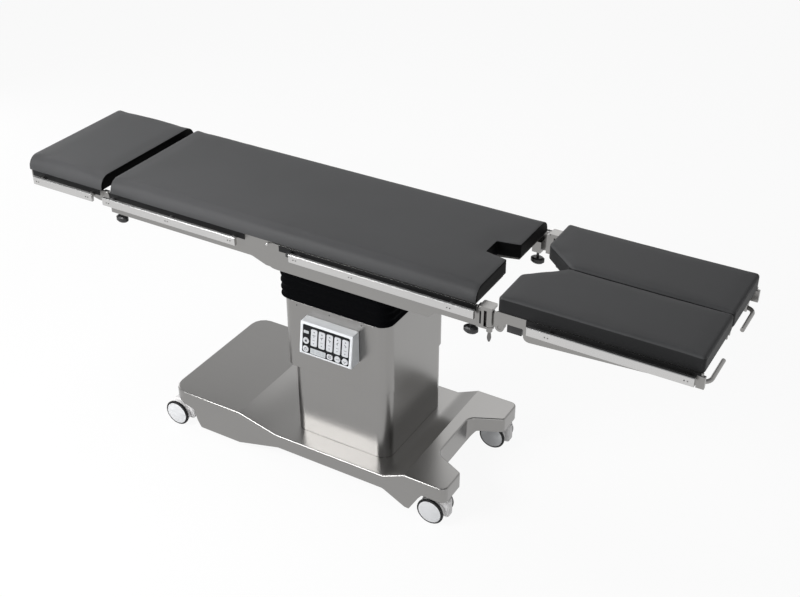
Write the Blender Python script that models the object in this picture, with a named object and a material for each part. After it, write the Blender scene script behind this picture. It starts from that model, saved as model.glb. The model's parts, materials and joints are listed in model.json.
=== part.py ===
"""Operating table: stepped steel base on twin casters, telescopic column, tilt head, sectional top.

Metres, +Z up, floor at Z 0. X runs along the table: the head section is at -X, the legs at +X.
-Y is the patient's right side and carries the control panel.
"""
import bpy
import bmesh
from math import atan2, cos, hypot, pi, radians, sin, tan
from mathutils import Matrix, Vector

# Clearances
SEAT_GAP = 0.0003           # between two pieces that rest on each other
RUN_GAP = 0.0005            # round a pin in its bore, and beside a turning plate
SLEEVE_GAP = 0.0007         # between telescoping sleeves
WELD = 0.0025               # how far a welded piece reaches into the one that carries it

# Base shell
BASE_HEAD_X = -0.6085
BASE_FOOT_X = 0.386
BASE_HALF_WIDTH = 0.2396
BASE_RAISED_Z = 0.1445
BASE_PLATE_Z = 0.1118
BASE_WALL = 0.003
CREST_X = -0.343
SLOPE_FOOT_X = -0.208
PLATE_END_X = 0.176
RISE_TOP_X = 0.248
SKIRT_Z = 0.026
BAND_Z = 0.0654
FOOT_UNDERSIDE_Z = 0.0952
HEAD_UNDERSIDE_Z = 0.113
FOOT_SKIRT_X = (0.252, 0.266)
HEAD_SKIRT_X = (-0.501, -0.350)
HEAD_CORNER_R = 0.050
FOOT_CORNER_R = 0.020
NOTCH_X = 0.287
NOTCH_ROOT_Y = 0.098
NOTCH_MOUTH_Y = 0.145
NOTCH_ROOT_R = 0.030
NOTCH_MOUTH_R = 0.012

# Chassis and battery
CHASSIS_THICK = 0.018
CHASSIS_INSET = 0.010
CHASSIS_WINDOWS = ((-0.275, 0.055, 0.150), (0.232, 0.030, 0.075))   # centre X, half length, half width
BATTERY_X = (-0.475, -0.365)
BATTERY_HALF_Y = 0.120
BATTERY_BOTTOM_Z = 0.032

# Casters
WHEEL_R = 0.043
CASTER_WIDTH = 0.074
TREAD_EDGE = 0.004
HOOD_WIDTH = 0.031
HOOD_X = (-0.0405, 0.0510)  # back and front, from the axle
HOOD_Z = (0.0210, 0.0875)
HOOD_EDGE = 0.006
CASTER_TRAIL = 0.018
CASTER_HEAD_X = -0.601
CASTER_FOOT_X = 0.335
CASTER_INSET = 0.0006       # from the base's side to the outer wheel's face
STEM_R = 0.008
AXLE_R = 0.006

# Column
COLUMN_CORNER_R = 0.040
SLEEVE_WALL = 0.002
LOWER_PLAN = (-0.0115, 0.1665, 0.172)   # centre X, half length, half width
LOWER_TOP_Z = 0.431
MIDDLE_SPAN_Z = (0.350, 0.480)
UPPER_PLAN = (-0.0215, 0.1805, 0.175)
UPPER_SPAN_Z = (0.348, 0.580)
CYLINDER_R = 0.035
CYLINDER_TOP_Z = 0.410
ROD_R = 0.0222
ROD_BOTTOM_Z = 0.240

# Tilt head and bellows
TILT_Z = UPPER_SPAN_Z[1] + 0.054
HEAD_PLATE_Z = (TILT_Z - 0.082, TILT_Z - 0.072)
SHAFT_R = 0.014
YOKE_Y = (0.100, 0.125)
HANGER_X = (0.080, 0.100)
SADDLE_Z = (TILT_Z + 0.086, TILT_Z + 0.0925)
BELLOWS_GROW = (0.009, 0.013)           # how far the folds stand out from the sleeve, along X and Y
FOLD_DEPTH = 0.0045
FOLD_PITCH = 0.020
BELLOWS_WALL = 0.002

# Control panel, on a face that leans back
PANEL_CENTRE = (-0.023, -0.2155, UPPER_SPAN_Z[1] - 0.0855)
PANEL_LEAN = radians(8.1)
PANEL_HALF = (0.089, 0.053)
MEMBRANE_HALF = (0.0792, 0.0442)
MEMBRANE_R = 0.004
MEMBRANE_THICK = 0.0015
POCKET_DEPTH = 0.0070
BOARD_THICK = 0.0010
BUTTON_PROUD = 0.0008
BUTTON_FLANGE = 0.0012
BUTTON_FLANGE_THICK = 0.0018
PILL_SIZE = (0.0215, 0.0535)
PILL_V = 0.0098
PILL_PITCH = 0.0265
PILL_FIRST_U = -0.040
ROUND_R = 0.0103
ROUND_SPOTS = {"button_lock": (-0.067, -0.006), "button_power": (-0.067, -0.0325),
               "button_reverse": (0.0416, -0.0325), "button_level": (0.0668, -0.0325)}
SQUARE_SPOT = (0.0158, -0.0335)
SQUARE_SIZE = (0.0195, 0.0165)
LCD_SPOT = (-0.025, -0.0340)
LCD_SIZE = (0.052, 0.0175)
LED_SPOT = (-0.068, 0.0215)
LED_SIZE = (0.0175, 0.009)

# Table top heights and widths
FRAME_TOP_Z = TILT_Z + 0.154
PAD_THICK = 0.0437
PAD_HALF_WIDTH = 0.2236
PAD_EDGE_R = 0.036
PANEL_THICK = 0.0077
TUBE_DEPTH = 0.020
TUBE_WIDTH = 0.020
OUTER_PLATE_Y = (0.219, 0.225)
INNER_PLATE_Y = (0.212, 0.2185)
RAIL_Y = (0.240, 0.250)
RAIL_Z = (FRAME_TOP_Z - 0.029, FRAME_TOP_Z - 0.004)
RAIL_CHAMFER = 0.0015
STANDOFF_R = 0.008

# Table top lengths
HEAD_PAD_X = (-1.101, -0.808)
BACK_PAD_X = (-0.773, -0.2757)
FOLD_PAD_X = (-0.2754, -0.1063)
SEAT_PAD_X = (-0.106, 0.450)
LEG_PAD_X = (0.512, 1.051)
PAD_SEAM = 0.0016
BACK_PANEL_X = (-0.7735, -0.236)
SEAT_PANEL_X = (-0.141, 0.4445)
HEAD_PANEL_X = (-1.092, -0.845)
HEAD_RAIL_X = (-1.062, -0.826)
BACK_RAIL_X = (-0.7835, -0.295)
SEAT_RAIL_X = (-0.112, 0.458)
LEG_RAIL_X = (0.606, 1.038)
BACK_PLATE_END_X = -0.7815
SEAT_PLATE_END_X = 0.4575
HEAD_PLATE_END_X = -1.098
BACK_PLATE_LOW_Z = FRAME_TOP_Z - 0.065
SEAT_PLATE_LOW_Z = FRAME_TOP_Z - 0.0617
HEAD_PLATE_LOW_Z = FRAME_TOP_Z - 0.0305
SEAT_STEP_X = (0.314, 0.336)
LEG_STEP_X = 0.587
HEAD_TUBES_X = (-1.078, -0.882)
BACK_TUBES_X = (-0.767, -0.530, -0.290)
SEAT_TUBE_X = 0.350
LEG_TUBES_X = (0.630, 0.800, 1.010)
SEAT_STANDOFFS = (-0.092, 0.088, 0.386)
BACK_STANDOFFS = (-0.763, -0.540, -0.315)
HEAD_STANDOFFS = (-1.045, -0.845)
LEG_STANDOFFS = (0.660, 1.018)
SEAT_NOTCH = ((0.387, 0.032), (0.450, 0.049))
LEG_NOTCH = ((0.613, 0.0), (0.512, 0.090))

# Hinges
BACK_HINGE = (-0.176, FRAME_TOP_Z - 0.0415)
HEAD_HINGE = (-0.804, FRAME_TOP_Z - 0.016)
HEAD_LUG_R = 0.020
HEAD_EAR_R = 0.0145
PIN_R = 0.006
BACK_PIN_R = 0.012
POST = (0.4895, 0.2165)
POST_R = 0.0115
POST_PIN_R = 0.0080
LOW_EAR_Z = (FRAME_TOP_Z - 0.0608, FRAME_TOP_Z - 0.0550)
HIGH_EAR_Z = (FRAME_TOP_Z - 0.0063, FRAME_TOP_Z - 0.0005)
POST_CAP_TOP_Z = FRAME_TOP_Z + 0.007
LEG_HINGE = (0.5205, FRAME_TOP_Z - 0.047)
LEG_LUG_R = 0.0125
LEG_PIN_R = 0.005

# Knobs, lock handles and leg rods
KNOB_HALF = (0.021, 0.014)
KNOB_HEIGHT = 0.019
KNOB_Z = FRAME_TOP_Z - 0.090
KNOB_STEM_R = 0.004
KNOB_BLOCK_Z = FRAME_TOP_Z - 0.0597
KNOB_REACH = 0.0117
HEAD_KNOB = (-0.760, 0.200)
SEAT_KNOB = (0.432, 0.2075)
LOCK_HANDLE_Z = (FRAME_TOP_Z - 0.104, FRAME_TOP_Z - 0.0728)
GRIP_R = 0.006
GRIP_X = 1.059
GRIP_Y = (0.077, 0.190)
GRIP_Z = FRAME_TOP_Z - 0.048
GRIP_BEND_R = 0.025

PANEL_TOP_Z = FRAME_TOP_Z - SEAT_GAP
PANEL_BOTTOM_Z = PANEL_TOP_Z - PANEL_THICK
TUBE_TOP_Z = PANEL_BOTTOM_Z - SEAT_GAP
TUBE_Z = (TUBE_TOP_Z - TUBE_DEPTH, TUBE_TOP_Z)
PAD_Z = (FRAME_TOP_Z + SEAT_GAP, FRAME_TOP_Z + SEAT_GAP + PAD_THICK)
BACK_LUG_R = FRAME_TOP_Z - BACK_HINGE[1]
CASTER_Y = BASE_HALF_WIDTH - CASTER_INSET - CASTER_WIDTH / 2
CHASSIS_Z = (BASE_PLATE_Z - BASE_WALL - SEAT_GAP - CHASSIS_THICK, BASE_PLATE_Z - BASE_WALL - SEAT_GAP)
TABLE_SHIFT_X = -(HEAD_PAD_X[0] + GRIP_X + GRIP_R) / 2
SIDES = {"right": -1, "left": 1}

STEEL = ((0.62, 0.61, 0.59), 0.30, 1.0)
BRIGHT_STEEL = ((0.72, 0.71, 0.69), 0.25, 1.0)
DARK_STEEL = ((0.22, 0.22, 0.23), 0.40, 1.0)
PAINT_DARK = ((0.06, 0.06, 0.065), 0.50, 0.0)
PAD_BLACK = ((0.055, 0.057, 0.060), 0.55, 0.0)
RUBBER_BLACK = ((0.010, 0.011, 0.012), 0.60, 0.0)
SHELL_WHITE = ((0.78, 0.79, 0.80), 0.35, 0.0)
WHEEL_WHITE = ((0.76, 0.77, 0.78), 0.40, 0.0)
HOOD_GREY = ((0.68, 0.67, 0.67), 0.40, 0.0)
KEY_GREY = ((0.60, 0.61, 0.62), 0.45, 0.0)
MEMBRANE_BLACK = ((0.008, 0.009, 0.011), 0.35, 0.0)
SCREEN_GREY = ((0.50, 0.53, 0.55), 0.20, 0.0)
LAMINATE = ((0.16, 0.15, 0.14), 0.45, 0.0)


# Outlines

def arc(centre, radius, start, end, steps):
    """Points on an arc, both ends included."""
    turns = [start + (end - start) * k / steps for k in range(steps + 1)]
    return [(centre[0] + radius * cos(t), centre[1] + radius * sin(t)) for t in turns]


def filleted(corners, steps=4):
    """Outline through corners (u, v, radius), with an arc at every corner that has a radius."""
    outline = []
    for index, (u, v, radius) in enumerate(corners):
        if radius <= 0:
            outline.append((u, v))
            continue
        before, after = corners[index - 1], corners[(index + 1) % len(corners)]
        here = Vector((u, v))
        back = (Vector(before[:2]) - here).normalized()
        ahead = (Vector(after[:2]) - here).normalized()
        half = back.angle(ahead) / 2
        centre = here + (back + ahead).normalized() * (radius / sin(half))
        first = here + back * (radius / tan(half)) - centre
        last = here + ahead * (radius / tan(half)) - centre
        start, end = atan2(first.y, first.x), atan2(last.y, last.x)
        while end - start > pi:
            end -= 2 * pi
        while end - start < -pi:
            end += 2 * pi
        outline += arc(centre, radius, start, end, steps)
    return outline


def rounded_rect(half_u, half_v, radius, steps=4, centre=(0.0, 0.0)):
    """Rectangle with round corners about a centre."""
    u, v = centre
    return filleted([(u - half_u, v - half_v, radius), (u + half_u, v - half_v, radius),
                     (u + half_u, v + half_v, radius), (u - half_u, v + half_v, radius)], steps)


def ellipse(half_u, half_v, steps, centre=(0.0, 0.0)):
    return [(centre[0] + half_u * cos(2 * pi * k / steps), centre[1] + half_v * sin(2 * pi * k / steps))
            for k in range(steps)]


def on_side(side, inner, outer):
    """Low and high Y of something between two distances from the middle, on one side."""
    return tuple(sorted((side * inner, side * outer)))


# Solids

AXES = {"X": Vector((1, 0, 0)), "Y": Vector((0, 1, 0)), "Z": Vector((0, 0, 1))}


def in_space(point, axis, along):
    u, v = point
    return {"X": (along, u, v), "Y": (u, along, v), "Z": (u, v, along)}[axis]


def to_object(shape, name="tool"):
    """Turn a bmesh into an object with its faces out."""
    bmesh.ops.recalc_face_normals(shape, faces=shape.faces)
    mesh = bpy.data.meshes.new(name)
    shape.to_mesh(mesh)
    shape.free()
    obj = bpy.data.objects.new(name, mesh)
    bpy.context.scene.collection.objects.link(obj)
    return obj


def prism(outline, axis, span, chamfer=0.0):
    """Extrude an outline along an axis between two places; a chamfer runs round both ends."""
    shape = bmesh.new()
    face = shape.faces.new([shape.verts.new(in_space(p, axis, span[0])) for p in outline])
    moved = bmesh.ops.extrude_face_region(shape, geom=[face])["geom"]
    verts = [item for item in moved if isinstance(item, bmesh.types.BMVert)]
    bmesh.ops.translate(shape, verts=verts, vec=AXES[axis] * (span[1] - span[0]))
    if chamfer:
        rims = [e for e in shape.edges if abs((e.verts[0].co - e.verts[1].co).dot(AXES[axis])) < 1e-7]
        bmesh.ops.bevel(shape, geom=rims, offset=chamfer, segments=1, profile=0.5, affect="EDGES")
    return to_object(shape)


def box(x_span, y_span, z_span, chamfer=0.0):
    corners = [(x_span[0], y_span[0]), (x_span[1], y_span[0]), (x_span[1], y_span[1]), (x_span[0], y_span[1])]
    return prism(corners, "Z", z_span, chamfer)


def skin(rings, looped=False):
    """Join rings of equal point count; looped rings make a hollow sleeve, others get end caps."""
    shape = bmesh.new()
    loops = [[shape.verts.new(p) for p in ring] for ring in rings]
    pairs = list(zip(loops, loops[1:]))
    if looped:
        pairs.append((loops[-1], loops[0]))
    else:
        shape.faces.new(loops[0])
        shape.faces.new(loops[-1])
    for low, high in pairs:
        for k in range(len(low)):
            n = (k + 1) % len(low)
            shape.faces.new((low[k], low[n], high[n], high[k]))
    return to_object(shape)


def sleeve(outer, inner, span):
    """Open tube between two outlines."""
    return skin([[(*p, span[0]) for p in outer], [(*p, span[1]) for p in outer],
                 [(*p, span[1]) for p in inner], [(*p, span[0]) for p in inner]], looped=True)


def turned(profile, axis, centre, steps=20):
    """Spin a profile of (radius, height along the axis), both ends on the axis."""
    shape = bmesh.new()
    verts = [shape.verts.new((r, 0, h)) for r, h in profile]
    edges = [shape.edges.new(pair) for pair in zip(verts, verts[1:])]
    bmesh.ops.spin(shape, geom=verts + edges, cent=(0, 0, 0), axis=(0, 0, 1), angle=2 * pi, steps=steps)
    bmesh.ops.remove_doubles(shape, verts=shape.verts, dist=1e-6)
    turn = {"X": Matrix.Rotation(pi / 2, 4, "Y"), "Y": Matrix.Rotation(-pi / 2, 4, "X"),
            "Z": Matrix.Identity(4)}[axis]
    shape.transform(Matrix.Translation(centre) @ turn)
    return to_object(shape)


def rod(radius, axis, centre, span, steps=12):
    """Plain cylinder between two places along an axis through a centre."""
    return turned([(0, span[0]), (radius, span[0]), (radius, span[1]), (0, span[1])], axis, centre, steps)


def bent_rod(points, radius):
    """Round bar along a polyline."""
    curve = bpy.data.curves.new("bent_rod", "CURVE")
    curve.dimensions = "3D"
    curve.bevel_depth = radius
    curve.bevel_resolution = 3
    curve.use_fill_caps = True
    spline = curve.splines.new("POLY")
    spline.points.add(len(points) - 1)
    for spot, point in zip(spline.points, points):
        spot.co = (*point, 1)
    guide = bpy.data.objects.new("bent_rod", curve)
    bpy.context.scene.collection.objects.link(guide)
    bpy.context.view_layer.update()
    view = bpy.context.evaluated_depsgraph_get()
    mesh = bpy.data.meshes.new_from_object(guide.evaluated_get(view))
    bpy.data.objects.remove(guide)
    shape = bmesh.new()
    shape.from_mesh(mesh)
    bmesh.ops.remove_doubles(shape, verts=shape.verts, dist=1e-6)
    return to_object(shape)


def boolean(obj, tool, operation):
    """Join, cut or intersect obj with a tool, which is used up."""
    change = obj.modifiers.new(operation.lower(), "BOOLEAN")
    change.operation = operation
    change.object = tool
    change.solver = "EXACT"
    bpy.context.view_layer.update()
    view = bpy.context.evaluated_depsgraph_get()
    mesh = bpy.data.meshes.new_from_object(obj.evaluated_get(view))
    obj.modifiers.clear()
    obj.data = mesh
    bpy.data.objects.remove(tool)
    return obj


def welded(first, *others):
    for other in others:
        boolean(first, other, "UNION")
    return first


def cut(obj, *tools):
    for tool in tools:
        boolean(obj, tool, "DIFFERENCE")
    return obj


def grouped(first, *others):
    """Put separate bodies into one object."""
    shape = bmesh.new()
    shape.from_mesh(first.data)
    for other in others:
        shape.from_mesh(other.data)
        bpy.data.objects.remove(other)
    shape.to_mesh(first.data)
    shape.free()
    return first


# Carriers: an empty on each joint's axis

CARRIERS = {}


def carrier(name, place, parent=None, lean=0.0):
    """Empty at a place in the column's frame, under another carrier."""
    empty = bpy.data.objects.new(name, None)
    empty.empty_display_size = 0.05
    bpy.context.scene.collection.objects.link(empty)
    origin = Vector((0, 0, 0))
    if parent:
        empty.parent = CARRIERS[parent][0]
        origin = CARRIERS[parent][1]
    empty.location = Vector(place) - origin
    empty.rotation_euler.x = lean
    CARRIERS[name] = (empty, Vector(place))


def finished(name, obj, look, on, smooth=35):
    """Name a solid, give it its material and hang it on its carrier."""
    colour, roughness, metallic = look
    obj.name = name
    obj.data.name = name
    surface = bpy.data.materials.new(name)
    surface.use_nodes = True
    shader = surface.node_tree.nodes["Principled BSDF"]
    shader.inputs["Base Color"].default_value = (*colour, 1)
    shader.inputs["Roughness"].default_value = roughness
    shader.inputs["Metallic"].default_value = metallic
    obj.data.materials.clear()
    obj.data.materials.append(surface)
    obj.data.shade_smooth()
    obj.data.set_sharp_from_angle(angle=radians(smooth))
    empty, place = CARRIERS[on]
    if empty.rotation_euler.x == 0:
        obj.data.transform(Matrix.Translation(-place))
    obj.parent = empty
    return obj


# Base

def base_plan(inset):
    """Plan of the base moved in by inset: round head corners, two feet and the notch between them."""
    head, foot = BASE_HEAD_X + inset, BASE_FOOT_X - inset
    width = BASE_HALF_WIDTH - inset
    slant = atan2(NOTCH_MOUTH_Y - NOTCH_ROOT_Y, BASE_FOOT_X - NOTCH_X)
    give = inset * (1 - sin(slant)) / cos(slant)
    corners = [(head, -width, HEAD_CORNER_R - inset), (foot, -width, FOOT_CORNER_R - inset),
               (foot, -NOTCH_MOUTH_Y - give, NOTCH_MOUTH_R - inset),
               (NOTCH_X - inset, -NOTCH_ROOT_Y - give, NOTCH_ROOT_R + inset)]
    return filleted(corners + [(x, -y, r) for x, y, r in reversed(corners)])


def base_top(drop):
    """Side view of the base's top: raised ends, two slopes and the plate between them."""
    return [(x, z - drop) for x, z in (
        (BASE_HEAD_X - drop, BASE_RAISED_Z), (CREST_X, BASE_RAISED_Z), (SLOPE_FOOT_X, BASE_PLATE_Z),
        (PLATE_END_X, BASE_PLATE_Z), (RISE_TOP_X, BASE_RAISED_Z), (BASE_FOOT_X + drop, BASE_RAISED_Z))]


def base_underside():
    """Side view of the lower edge, from the foot to the head: foot, skirt, band, skirt, wheel arch."""
    foot_x, step_x = FOOT_SKIRT_X[1], FOOT_SKIRT_X[1] + 0.030
    head_x = HEAD_SKIRT_X[0]
    return [(BASE_FOOT_X, FOOT_UNDERSIDE_Z, 0), (step_x + 0.013, FOOT_UNDERSIDE_Z, 0.010),
            (step_x, 0.0775, 0.010), (foot_x, SKIRT_Z, 0.003), (FOOT_SKIRT_X[0], SKIRT_Z, 0.012),
            (PLATE_END_X, BAND_Z, 0.020), (SLOPE_FOOT_X + 0.009, BAND_Z, 0.020),
            (HEAD_SKIRT_X[1], SKIRT_Z, 0.015), (head_x, SKIRT_Z, 0.006), (head_x - 0.013, 0.050, 0.030),
            (head_x - 0.023, 0.088, 0.018), (head_x - 0.074, 0.101, 0.020), (BASE_HEAD_X, HEAD_UNDERSIDE_Z, 0)]


def base_shell():
    """Folded and welded sheet cover, open below."""
    top = [(x, z, 0) for x, z in base_top(0)]
    body = prism(filleted(top + base_underside()), "Y", (-BASE_HALF_WIDTH - 0.01, BASE_HALF_WIDTH + 0.01))
    boolean(body, prism(base_plan(0), "Z", (-0.01, BASE_RAISED_Z + 0.01)), "INTERSECT")
    room = base_top(BASE_WALL) + [(BASE_FOOT_X + 0.01, -0.02), (BASE_HEAD_X - 0.01, -0.02)]
    hollow = prism(room, "Y", (-BASE_HALF_WIDTH, BASE_HALF_WIDTH))
    boolean(hollow, prism(base_plan(BASE_WALL), "Z", (-0.01, BASE_RAISED_Z + 0.01)), "INTERSECT")
    return cut(body, hollow)


def base_chassis():
    """Welded frame plate under the cover, with windows and the casters' stem bores."""
    plate = prism(base_plan(CHASSIS_INSET), "Z", CHASSIS_Z)
    through = (CHASSIS_Z[0] - 0.01, CHASSIS_Z[1] + 0.01)
    for centre_x, half_x, half_y in CHASSIS_WINDOWS:
        cut(plate, prism(rounded_rect(half_x, half_y, 0.012, 3, (centre_x, 0)), "Z", through))
    for x in (CASTER_HEAD_X, CASTER_FOOT_X):
        for side in SIDES.values():
            stem = (x + CASTER_TRAIL, side * CASTER_Y, 0)
            cut(plate, rod(STEM_R + RUN_GAP, "Z", stem, through))
    return plate


def battery_pack():
    half = (BATTERY_X[1] - BATTERY_X[0]) / 2
    outline = rounded_rect(half, BATTERY_HALF_Y, 0.010, 3, (BATTERY_X[0] + half, 0))
    return prism(outline, "Z", (BATTERY_BOTTOM_Z, CHASSIS_Z[0] - SEAT_GAP), 0.003)


def caster_hood(x, y):
    """Central hood of a twin-wheel caster: round over the axle, upright in front, with its stem."""
    (back, front), (low, high) = HOOD_X, HOOD_Z
    corners = [(back, low + 0.012, 0.008), (back, high, 0.036), (front, high, 0.010), (front, low, 0.010),
               (back / 2, low, 0.012)]
    outline = filleted([(x + u, z, r) for u, z, r in corners], 3)
    hood = prism(outline, "Y", (y - HOOD_WIDTH / 2, y + HOOD_WIDTH / 2), HOOD_EDGE)
    stem_x = x + CASTER_TRAIL
    welded(hood, rod(STEM_R, "Z", (stem_x, y, 0), (high - 0.003, CHASSIS_Z[1] - 0.002)))
    return cut(hood, rod(AXLE_R + RUN_GAP, "Y", (x, y, WHEEL_R), (-HOOD_WIDTH, HOOD_WIDTH)))


def caster_wheels(x, y):
    """Two disc wheels on one axle, with rounded treads."""
    face, inner = CASTER_WIDTH / 2, HOOD_WIDTH / 2 + RUN_GAP
    disc_r, edge = WHEEL_R - 0.003, TREAD_EDGE
    half = [(0, face - 0.001), (disc_r, face), (WHEEL_R, face - edge), (WHEEL_R, inner + edge),
            (disc_r, inner), (AXLE_R, inner)]
    profile = [(r, -h) for r, h in half] + list(reversed(half))
    return turned(profile, "Y", (x, y, WHEEL_R), 20)


# Column

def column_outline(plan, inset=0.0, steps=5):
    centre, half_x, half_y = plan
    return rounded_rect(half_x - inset, half_y - inset, COLUMN_CORNER_R - inset, steps, (centre, 0))


def column_sleeve(plan, span):
    return sleeve(column_outline(plan), column_outline(plan, SLEEVE_WALL), span)


def lift_cylinder():
    foot = BASE_PLATE_Z + SEAT_GAP
    bore = ROD_R + RUN_GAP
    profile = [(0, foot), (CYLINDER_R + 0.020, foot), (CYLINDER_R + 0.020, foot + 0.008),
               (CYLINDER_R, foot + 0.008), (CYLINDER_R, CYLINDER_TOP_Z), (bore, CYLINDER_TOP_Z),
               (bore, foot + 0.0065), (0, foot + 0.0065)]
    return turned(profile, "Z", (0, 0, 0))


def column_head():
    """Plate in the top of the upper sleeve with two bearing cheeks for the tilt shaft."""
    plate = prism(column_outline(UPPER_PLAN, SLEEVE_WALL + SEAT_GAP), "Z", HEAD_PLATE_Z)
    foot = HEAD_PLATE_Z[1] - 0.002
    cheek = filleted([(-0.040, foot, 0), (0.040, foot, 0), (0.022, TILT_Z + 0.020, 0.019),
                      (-0.022, TILT_Z + 0.020, 0.019)], 3)
    for side in SIDES.values():
        welded(plate, prism(cheek, "Y", on_side(side, *YOKE_Y)))
    return cut(plate, rod(SHAFT_R + RUN_GAP, "Y", (0, 0, TILT_Z), (-0.2, 0.2)))


def gimbal_cross():
    """Two crossed shafts through one block: tilt along Y, lateral tilt along X."""
    block = box((-0.028, 0.028), (-0.028, 0.028), (TILT_Z - 0.022, TILT_Z + 0.022), 0.003)
    reach_y, reach_x = YOKE_Y[1] - 0.001, HANGER_X[1] - 0.001
    return welded(block, rod(SHAFT_R, "Y", (0, 0, TILT_Z), (-reach_y, reach_y)),
                  rod(SHAFT_R, "X", (0, 0, TILT_Z), (-reach_x, reach_x)))


def bellows(fixed_z, free_z):
    """Folded rubber sleeve that tapers to the sleeve's outline at its fixed end."""
    folds = max(1, round(abs(free_z - fixed_z) / FOLD_PITCH))
    centre, half_x, half_y = UPPER_PLAN
    wide = (centre, half_x + BELLOWS_GROW[0], half_y + BELLOWS_GROW[1])
    rings = [(UPPER_PLAN, 0.0, fixed_z)]
    for k in range(1, 2 * folds + 1):
        rings.append((wide, 0.0 if k % 2 else FOLD_DEPTH, fixed_z + (free_z - fixed_z) * k / (2 * folds)))
    walls = rings + [(plan, inset + BELLOWS_WALL, z) for plan, inset, z in reversed(rings)]
    return skin([[(*p, z) for p in column_outline(plan, inset, 3)] for plan, inset, z in walls], looped=True)


# Control panel, in its face's own coordinates: u right, v up, w out

def panel_matrix():
    return Matrix.Translation(PANEL_CENTRE) @ Matrix.Rotation(pi / 2 - PANEL_LEAN, 4, "X")


def panel_housing():
    """Wedge-shaped housing on the sleeve with a pocket for the keys."""
    wall = -UPPER_PLAN[2] - SEAT_GAP
    up = Vector((0, sin(PANEL_LEAN), cos(PANEL_LEAN)))
    high = Vector(PANEL_CENTRE) + up * PANEL_HALF[1]
    low = Vector(PANEL_CENTRE) - up * PANEL_HALF[1]
    profile = filleted([(wall, low.z, 0), (low.y, low.z, 0.006), (high.y, high.z, 0.004), (wall, high.z, 0)])
    body = prism(profile, "X", (PANEL_CENTRE[0] - PANEL_HALF[0], PANEL_CENTRE[0] + PANEL_HALF[0]), 0.002)
    mouth = rounded_rect(MEMBRANE_HALF[0] + SEAT_GAP, MEMBRANE_HALF[1] + SEAT_GAP, MEMBRANE_R + SEAT_GAP, 3)
    pocket = prism(mouth, "Z", (-POCKET_DEPTH, 0.01))
    pocket.data.transform(panel_matrix())
    return cut(body, pocket)


def key_outlines():
    """Every key's outline on the face, by name, with its centre."""
    keys = {}
    for index, name in enumerate(("lift", "tilt", "lateral", "back", "leg")):
        centre = (PILL_FIRST_U + index * PILL_PITCH, PILL_V)
        keys["button_" + name] = (centre, PILL_SIZE, 0.004)
    for name, centre in ROUND_SPOTS.items():
        keys[name] = (centre, (2 * ROUND_R, 2 * ROUND_R), ROUND_R - 0.0002)
    keys["button_stop"] = (SQUARE_SPOT, SQUARE_SIZE, 0.005)
    return keys


def key_shape(size, radius, grow, centre=(0.0, 0.0)):
    steps = 2 if radius < ROUND_R / 2 else 3
    return rounded_rect(size[0] / 2 + grow, size[1] / 2 + grow, radius + grow, steps, centre)


def panel_faceplate():
    """Membrane plate with an opening for each key and window."""
    plate = prism(rounded_rect(*MEMBRANE_HALF, MEMBRANE_R, 3), "Z", (-MEMBRANE_THICK - SEAT_GAP, -SEAT_GAP))
    spots = list(key_outlines().values()) + [(LCD_SPOT, LCD_SIZE, 0.001), (LED_SPOT, LED_SIZE, 0.001)]
    openings = [prism(key_shape(size, radius, SEAT_GAP, centre), "Z", (-0.01, 0.01))
                for centre, size, radius in spots]
    return cut(plate, grouped(*openings))


def panel_board():
    """Circuit board on the pocket's floor, carrying the display window and the indicator."""
    low = -POCKET_DEPTH + SEAT_GAP
    board = prism(rounded_rect(MEMBRANE_HALF[0] - 0.001, MEMBRANE_HALF[1] - 0.001, MEMBRANE_R, 3), "Z",
                  (low, low + BOARD_THICK))
    for centre, size in ((LCD_SPOT, LCD_SIZE), (LED_SPOT, LED_SIZE)):
        welded(board, prism(key_shape(size, 0.001, 0, centre), "Z", (low + BOARD_THICK / 2, -SEAT_GAP)))
    return board


def panel_key(size, radius):
    """Key cap with a flange that keeps it behind the plate."""
    flange_top = -MEMBRANE_THICK - 2 * SEAT_GAP
    levels = ((BUTTON_FLANGE, flange_top - BUTTON_FLANGE_THICK), (BUTTON_FLANGE, flange_top), (0, flange_top),
              (0, BUTTON_PROUD - 0.0003), (-0.0004, BUTTON_PROUD))
    return skin([[(*p, w) for p in key_shape(size, radius, grow)] for grow, w in levels])


# Table top

def pad(x_span):
    """Pad with strongly rounded long upper edges and flat ends."""
    half = PAD_HALF_WIDTH
    section = filleted([(-half, PAD_Z[0], 0.004), (half, PAD_Z[0], 0.004), (half, PAD_Z[1], PAD_EDGE_R),
                        (-half, PAD_Z[1], PAD_EDGE_R)], 5)
    return prism(section, "X", x_span)


def seat_notch(grow, z_span):
    """Trapezoid cut for the seat's leg end."""
    (root_x, root_y), (mouth_x, mouth_y) = SEAT_NOTCH
    far = 0.05
    flare = (mouth_y - root_y) / (mouth_x - root_x)
    root, mouth = (root_x - grow, root_y + grow), (mouth_x + far, mouth_y + grow + far * flare)
    outline = filleted([(root[0], -root[1], 0.008), (mouth[0], -mouth[1], 0),
                        (*mouth, 0), (*root, 0.008)])
    return prism(outline, "Z", z_span)


def seat_pad():
    return cut(pad(SEAT_PAD_X), seat_notch(0, (PAD_Z[0] - 0.01, PAD_Z[1] + 0.01)))


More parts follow.
